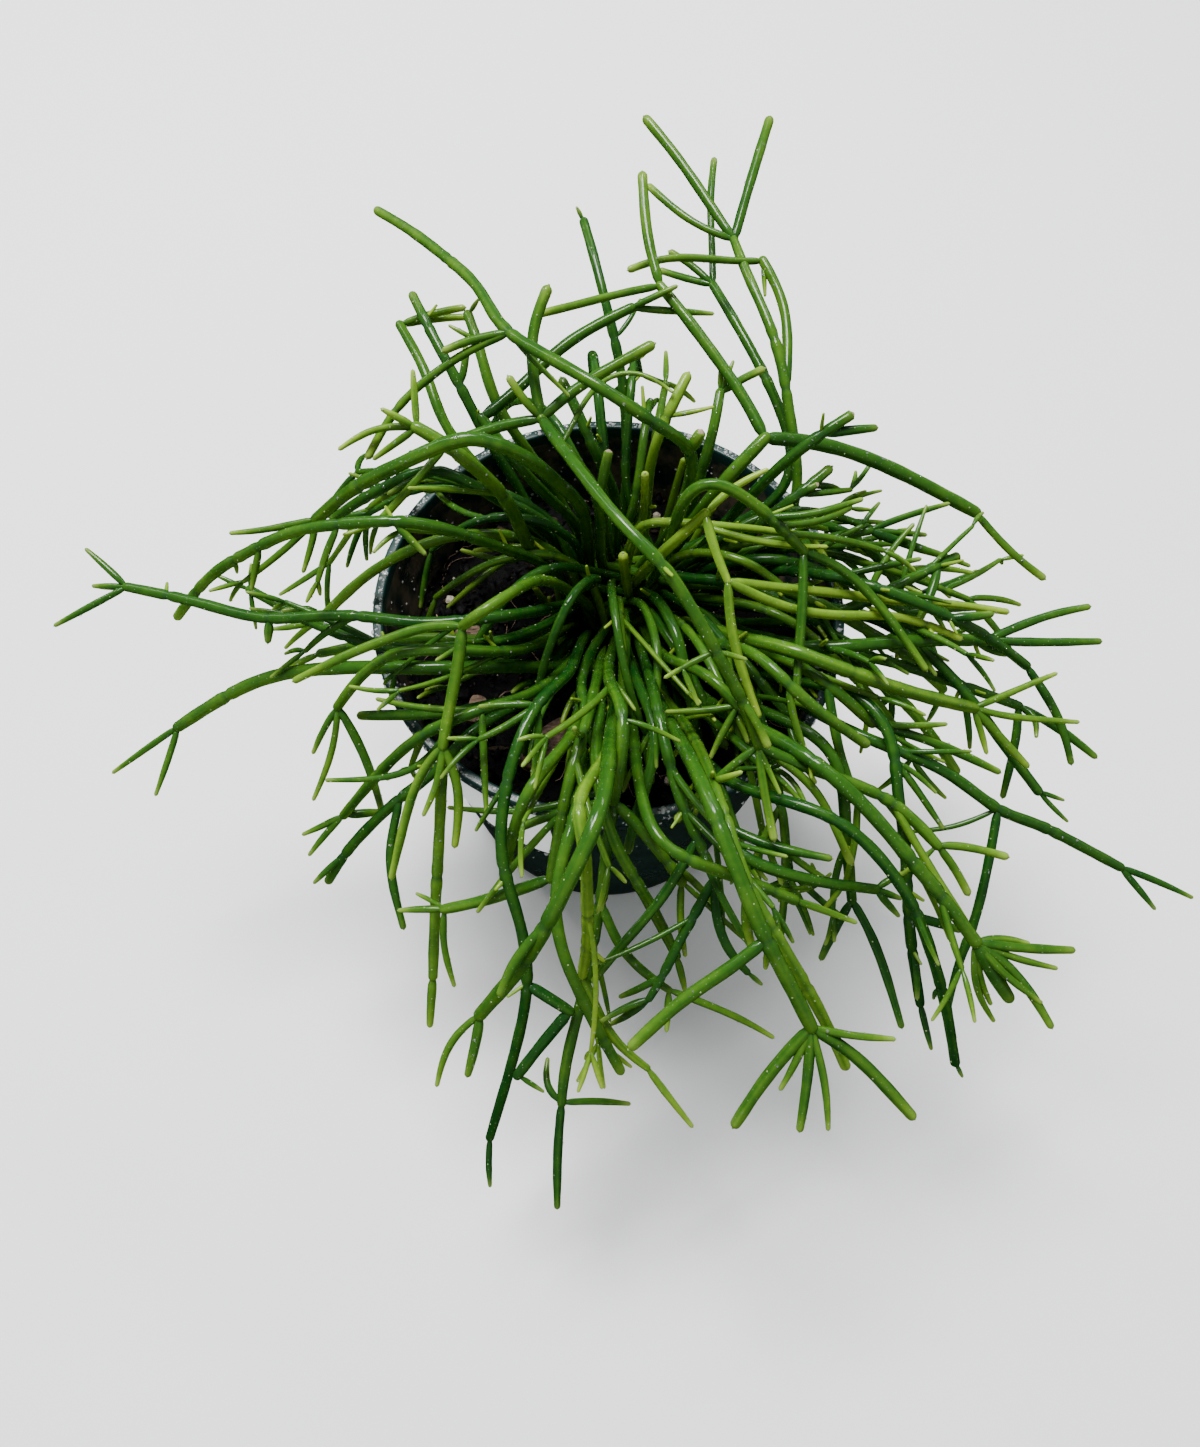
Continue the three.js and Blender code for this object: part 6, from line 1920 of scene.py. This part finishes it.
class Finish:
    """A procedural material: its shader and short ways to wire its nodes."""

    def __init__(self, name, roughness):
        self.material = bpy.data.materials.new(name)
        self.material.use_nodes = True
        self.tree = self.material.node_tree
        self.shader = self.tree.nodes["Principled BSDF"]
        self.shader.inputs["Roughness"].default_value = roughness
        self.coordinates = self.tree.nodes.new("ShaderNodeTexCoord").outputs["Object"]

    def set(self, **values):
        """Sets plain values on the shader's own sockets."""
        for name, value in values.items():
            self.shader.inputs[name.replace("_", " ")].default_value = value

    def link(self, output, target):
        """Links an output to a socket."""
        self.tree.links.new(output, target)

    def stretched(self, scale):
        """The coordinates, scaled along each axis."""
        mapping = self.tree.nodes.new("ShaderNodeMapping")
        mapping.inputs["Scale"].default_value = scale
        self.link(self.coordinates, mapping.inputs["Vector"])
        return mapping.outputs["Vector"]

    def noise(self, scale, detail=3, roughness=0.55, vector=None):
        """A soft cloudy pattern from 0 to 1."""
        node = self.tree.nodes.new("ShaderNodeTexNoise")
        node.inputs["Scale"].default_value = scale
        node.inputs["Detail"].default_value = detail
        node.inputs["Roughness"].default_value = roughness
        self.link(vector or self.coordinates, node.inputs["Vector"])
        return node.outputs["Fac"]

    def cells(self, scale):
        """How far each place is from the nearest of many scattered points."""
        node = self.tree.nodes.new("ShaderNodeTexVoronoi")
        node.inputs["Scale"].default_value = scale
        self.link(self.coordinates, node.inputs["Vector"])
        return node.outputs["Distance"]

    def axes(self):
        """The place on the piece, in metres, as X, Y and Z."""
        node = self.tree.nodes.new("ShaderNodeSeparateXYZ")
        self.link(self.coordinates, node.inputs["Vector"])
        return node.outputs

    def inside_pot(self):
        """1 on the inner side of the pot's wall, below the rim, and 0 elsewhere."""
        axes = self.axes()
        across = self.math("POWER", axes["X"], 2)
        along = self.math("POWER", axes["Y"], 2)
        reach = self.math("POWER", self.math("ADD", across, along), 0.5)
        taper = self.math("MULTIPLY", axes["Z"], (WALL_TOP_RADIUS - BASE_RADIUS) / SHOULDER)
        inner = self.math("LESS_THAN", self.math("SUBTRACT", reach, taper), (BASE_RADIUS - WALL / 2) * MM)
        return self.math("MULTIPLY", inner, self.math("LESS_THAN", axes["Z"], SHOULDER * MM))

    def attribute(self, name):
        """A value that the mesh holds at its points."""
        node = self.tree.nodes.new("ShaderNodeAttribute")
        node.attribute_name = name
        return node.outputs["Fac"]

    def ramp(self, factor, stops):
        """Colours or greys between stops, by a factor."""
        node = self.tree.nodes.new("ShaderNodeValToRGB")
        ramp = node.color_ramp
        while len(ramp.elements) < len(stops):
            ramp.elements.new(0.5)
        for element, (position, color) in zip(ramp.elements, stops):
            element.position = position
            element.color = (*color, 1) if isinstance(color, tuple) else (color, color, color, 1)
        self.link(factor, node.inputs["Fac"])
        return node.outputs["Color"]

    def math(self, operation, first, second):
        """A sum, product or the like of two values or outputs."""
        node = self.tree.nodes.new("ShaderNodeMath")
        node.operation = operation
        for socket, value in zip(node.inputs, (first, second)):
            if isinstance(value, (int, float)):
                socket.default_value = value
            else:
                self.link(value, socket)
        return node.outputs["Value"]

    def mix(self, factor, first, second, blend="MIX"):
        """Two colours mixed by a factor."""
        node = self.tree.nodes.new("ShaderNodeMix")
        node.data_type = "RGBA"
        node.blend_type = blend
        factor_socket, first_socket, second_socket = (node.inputs[i] for i in (0, 6, 7))
        for socket, value in ((factor_socket, factor), (first_socket, first), (second_socket, second)):
            if isinstance(value, tuple):
                socket.default_value = (*value, 1)
            elif isinstance(value, (int, float)):
                socket.default_value = value
            else:
                self.link(value, socket)
        return node.outputs[2]

    def color(self, output):
        """Gives the shader its colour."""
        self.link(output, self.shader.inputs["Base Color"])

    def roughness(self, output):
        """Gives the shader its roughness."""
        self.link(output, self.shader.inputs["Roughness"])

    def bump(self, height, strength, distance):
        """Adds fine relief over any that is there."""
        node = self.tree.nodes.new("ShaderNodeBump")
        node.inputs["Strength"].default_value = strength
        node.inputs["Distance"].default_value = distance
        self.link(height, node.inputs["Height"])
        previous = self.shader.inputs["Normal"].links
        if previous:
            self.link(previous[0].from_socket, node.inputs["Normal"])
        self.link(node.outputs["Normal"], self.shader.inputs["Normal"])


def stem_finish():
    """The wet green skin, by age and painted light, with darker joints, paler ends and pale specks."""
    finish = Finish("stem_skin", 0.3)
    age = finish.attribute("age")
    blotches = finish.math("MULTIPLY", finish.math("SUBTRACT", finish.noise(170, 3), 0.5), 0.4)
    streaks = finish.math("MULTIPLY", finish.math("SUBTRACT", finish.noise(900, 2), 0.5), 0.15)
    ridges = finish.math("MULTIPLY", finish.math("SUBTRACT", finish.attribute("streak"), 0.5), 0.2)
    shade = finish.math("ADD", finish.math("ADD", age, blotches), finish.math("ADD", streaks, ridges))
    green = finish.ramp(shade, STEM_GREENS)
    tipped = finish.mix(finish.math("MULTIPLY", finish.attribute("tip"), 0.28), green, (0.34, 0.46, 0.09))
    ring = finish.math("MULTIPLY", finish.attribute("ring"), 0.6)
    ringed = finish.mix(ring, tipped, (0.012, 0.05, 0.012))
    specks = finish.ramp(finish.cells(1100), [(0.0, 1.0), (0.1, 0.35), (0.16, 0.0)])
    finish.color(finish.mix(finish.math("MULTIPLY", specks, 0.35), ringed, (0.5, 0.62, 0.36)))
    finish.roughness(finish.ramp(finish.noise(420, 2), [(0.3, 0.1), (0.7, 0.22)]))
    finish.bump(finish.noise(1500, 3), 0.08, 0.0002)
    finish.bump(finish.noise(260, 2), 0.15, 0.0005)
    finish.set(Subsurface_Weight=0.06, Subsurface_Scale=0.001, Subsurface_Radius=(0.4, 1.0, 0.1))
    finish.set(Specular_IOR_Level=0.2)
    return finish.material


def areole_finish():
    """The pale wool of the areoles."""
    finish = Finish("areole_wool", 0.7)
    finish.color(finish.ramp(finish.noise(2600, 2), [(0.35, (0.13, 0.2, 0.05)), (0.7, (0.4, 0.46, 0.22))]))
    finish.bump(finish.noise(5000, 2), 0.4, 0.0001)
    return finish.material


def dried_finish():
    """The corky tan of dried cut ends."""
    finish = Finish("dried_end", 0.8)
    finish.color(finish.ramp(finish.noise(1800, 4), [(0.3, (0.13, 0.09, 0.045)), (0.7, (0.46, 0.38, 0.24))]))
    finish.bump(finish.noise(2600, 4), 0.7, 0.0003)
    return finish.material


def pot_finish():
    """Dark blue-green plastic: a paler rim band as painted sheen, pale flecks of dust and painted glints,
    and dirt inside made paler as painted light.
    """
    finish = Finish("dark_green_plastic", 0.3)
    cloud = finish.noise(38, 4, 0.6)
    wall = finish.ramp(cloud, [(0.3, (0.0045, 0.017, 0.014)), (0.7, (0.0065, 0.023, 0.019))])
    # The rim band is painted a little paler than the wall: a painted sheen on its wet lip
    rim = finish.ramp(finish.axes()["Z"], [(SHOULDER * MM - 0.0005, 0.0), (SHOULDER * MM + 0.0005, 1.0)])
    base = finish.mix(rim, wall, (0.007, 0.03, 0.025))
    # Brown smears on the inner wall: dirt, painted paler than it is as painted light on the shaded inner
    # side
    dirt_and_light_smears = finish.ramp(finish.noise(150, 5, 0.65), [(0.44, 0.0), (0.6, 0.9)])
    base = finish.mix(finish.math("MULTIPLY", dirt_and_light_smears, finish.inside_pot()), base, (0.11, 0.084, 0.057))
    # Pale flecks: dust, and painted glints of fine water drops on the plastic
    dust_and_glint_dots = finish.ramp(finish.cells(1500), [(0.0, 1.0), (0.09, 0.4), (0.15, 0.0)])
    patches = finish.ramp(finish.noise(120, 3), [(0.5, 0.0), (0.68, 1.0)])
    dust_and_glint_flecks = finish.math("MULTIPLY", finish.math("MULTIPLY", dust_and_glint_dots, patches), 0.25)
    finish.color(finish.mix(dust_and_glint_flecks, base, (0.2, 0.24, 0.2)))
    finish.roughness(finish.ramp(finish.noise(90, 4), [(0.3, 0.25), (0.7, 0.38)]))
    finish.bump(finish.noise(1400, 3), 0.04, 0.0001)
    finish.bump(finish.noise(40, 2, vector=finish.stretched((1, 1, 0.25))), 0.04, 0.001)
    finish.set(Specular_IOR_Level=0.3)
    return finish.material


def label_finish():
    """Blank white paper."""
    finish = Finish("blank_paper", 0.45)
    finish.color(finish.ramp(finish.noise(90, 4), [(0.3, (0.93, 0.95, 0.95)), (0.7, (0.96, 0.97, 0.97))]))
    finish.bump(finish.noise(1800, 3), 0.08, 0.0001)
    return finish.material


def water_with_painted_glints(name, clearness):
    """Water beads, part clear and part white; the white stands in for their glints, a painted highlight."""
    finish = Finish(name, 0.03)
    # The white base colour is a painted glint
    finish.color(finish.ramp(finish.noise(900, 1), [(0.3, (0.93, 0.96, 0.95)), (0.7, (1.0, 1.0, 1.0))]))
    finish.set(Transmission_Weight=clearness, IOR=1.33)
    return finish.material


def soil_finish():
    """Moist peat, painted near black as painted shade for its place deep in the pot."""
    finish = Finish("moist_mix", 0.8)
    # The greys and browns are near black: moist peat, darkened further as painted shade
    grit = finish.noise(700, 5, 0.65)
    shaded_browns = [(0.35, (0.0006, 0.0007, 0.0007)), (0.6, (0.002, 0.002, 0.0018)), (0.8, (0.012, 0.01, 0.007))]
    dark = finish.ramp(grit, shaded_browns)
    damp = finish.noise(90, 3)
    patches = finish.ramp(damp, [(0.4, 0.0), (0.65, 0.7)])
    finish.color(finish.mix(patches, dark, (0.008, 0.0065, 0.006), "MULTIPLY"))
    finish.roughness(finish.ramp(damp, [(0.35, 0.42), (0.7, 0.9)]))
    finish.bump(grit, 0.8, 0.0007)
    finish.set(Specular_IOR_Level=0.07)
    return finish.material


def crumb_finish():
    """Crumbs from near black to brown, by their tone, painted darker as shade for their place deep in the
    pot.
    """
    finish = Finish("peat_crumb", 0.8)
    tone = finish.math("ADD", finish.attribute("tone"), finish.math("MULTIPLY", finish.noise(1100, 4), 0.4))
    # The darkest stops are near black: painted shade over the peat's own brown
    stops = [(0.3, (0.0007, 0.0008, 0.0008)), (0.8, (0.0028, 0.0026, 0.0022)), (1.0, (0.05, 0.034, 0.02))]
    finish.color(finish.ramp(finish.math("MULTIPLY", tone, 0.8), stops))
    finish.roughness(finish.ramp(finish.noise(500, 2), [(0.35, 0.45), (0.7, 0.9)]))
    finish.bump(finish.noise(1500, 4), 0.7, 0.0005)
    finish.set(Specular_IOR_Level=0.09)
    return finish.material


def bark_finish():
    """Brown bark with darker fibres along its grain."""
    finish = Finish("split_bark", 0.78)
    fibres = finish.noise(520, 6, 0.62, finish.stretched((0.35, 1.6, 1.6)))
    tone = finish.math("ADD", finish.math("MULTIPLY", finish.attribute("tone"), 0.35), fibres)
    stops = [(0.4, (0.02, 0.012, 0.008)), (0.62, (0.085, 0.048, 0.028)), (0.85, (0.26, 0.17, 0.11))]
    finish.color(finish.ramp(tone, stops))
    finish.bump(fibres, 0.85, 0.0009)
    finish.bump(finish.noise(1600, 4), 0.4, 0.0003)
    return finish.material


def perlite_finish():
    """Pale, stained perlite foam."""
    finish = Finish("foamed_perlite", 0.9)
    finish.color(finish.ramp(finish.noise(1300, 4), [(0.3, (0.26, 0.21, 0.15)), (0.65, (0.52, 0.46, 0.36))]))
    finish.bump(finish.cells(1800), 0.7, 0.0004)
    return finish.material


def floor_finish():
    """A pale floor."""
    finish = Finish("pale_floor", 0.9)
    finish.color(finish.ramp(finish.noise(4, 2), [(0.3, (0.915, 0.92, 0.92)), (0.7, (0.93, 0.935, 0.93))]))
    return finish.material


def make_floor(material):
    """A wide floor that mirror reflections don't see."""
    mesh = bpy.data.meshes.new("floor")
    half = FLOOR_HALF
    corners = [(-half, -half, 0), (half, -half, 0), (half, half, 0), (-half, half, 0)]
    mesh.from_pydata(corners, [], [(0, 1, 2, 3)])
    mesh.materials.append(material)
    floor = bpy.data.objects.new("floor", mesh)
    bpy.context.scene.collection.objects.link(floor)
    floor.visible_glossy = False


def make_light(name, place, size, energy):
    """A rectangular light that is aimed at the top of the pot."""
    light = bpy.data.lights.new(name, "AREA")
    light.shape = "RECTANGLE"
    light.size, light.size_y = size
    light.energy = energy
    lamp = bpy.data.objects.new(name, light)
    aim = Vector(LIGHT_AIM) - Vector(place)
    lamp.location = place
    lamp.rotation_euler = aim.to_track_quat("-Z", "Y").to_euler()
    bpy.context.scene.collection.objects.link(lamp)


def make_sky():
    """A pale sky over a dark ground, so that the wet undersides of the stems mirror no white floor."""
    world = bpy.data.worlds.new("soft_fill")
    world.use_nodes = True
    nodes = world.node_tree.nodes
    direction = nodes.new("ShaderNodeTexCoord").outputs["Generated"]
    parts = nodes.new("ShaderNodeSeparateXYZ")
    lift = nodes.new("ShaderNodeMath")
    lift.operation = "ADD"
    lift.inputs[1].default_value = SKY_DIP
    shade = nodes.new("ShaderNodeValToRGB")
    below, above = shade.color_ramp.elements
    below.position, below.color = 0.0, SKY_BELOW
    above.position, above.color = SKY_EDGE, SKY_ABOVE
    world.node_tree.links.new(direction, parts.inputs["Vector"])
    world.node_tree.links.new(parts.outputs["Z"], lift.inputs[0])
    world.node_tree.links.new(lift.outputs["Value"], shade.inputs["Fac"])
    world.node_tree.links.new(shade.outputs["Color"], nodes["Background"].inputs["Color"])
    nodes["Background"].inputs["Strength"].default_value = SKY_STRENGTH
    bpy.context.scene.world = world


def make_camera():
    """The camera, at the viewpoint from which the stems were measured."""
    camera = bpy.data.cameras.new("camera")
    camera.sensor_fit = "VERTICAL"
    camera.lens = VIEW_FOCAL / FRAME_HEIGHT * camera.sensor_height
    camera.clip_start = CAMERA_NEAR
    eye = bpy.data.objects.new("camera", camera)
    turn = Matrix([RIGHT, UP, BACK]).transposed()
    eye.matrix_world = Matrix.Translation(VIEW_PLACE * MM) @ turn.to_4x4()
    bpy.context.scene.collection.objects.link(eye)
    bpy.context.scene.camera = eye


make_camera()
make_floor(floor_finish())
for light_name, (light_place, light_size, power) in LIGHTS.items():
    make_light(light_name, light_place, light_size, power)
make_sky()

chains = grow_all()
stem_finishes = [stem_finish(), areole_finish(), dried_finish()]
surfaces = make_sprays(chains, stem_finishes)
make_crown_shoots(chains, stem_finishes)

bark = bark_finish()
perlite = perlite_finish()
make_pot(pot_finish())
make_label(label_finish())
make_soil(soil_finish())
crumb_finishes = [crumb_finish(), perlite]
for crumbs_name, (count, sizes, fineness) in CRUMBS.items():
    make_crumbs(crumbs_name, count, sizes, fineness, crumb_finishes)
make_fibres(bark)
make_chips(bark)
make_perlite(perlite)
make_pot_water(water_with_painted_glints("water_on_pot", POT_WATER))
make_stem_water(surfaces, water_with_painted_glints("water_on_stems", STEM_WATER))
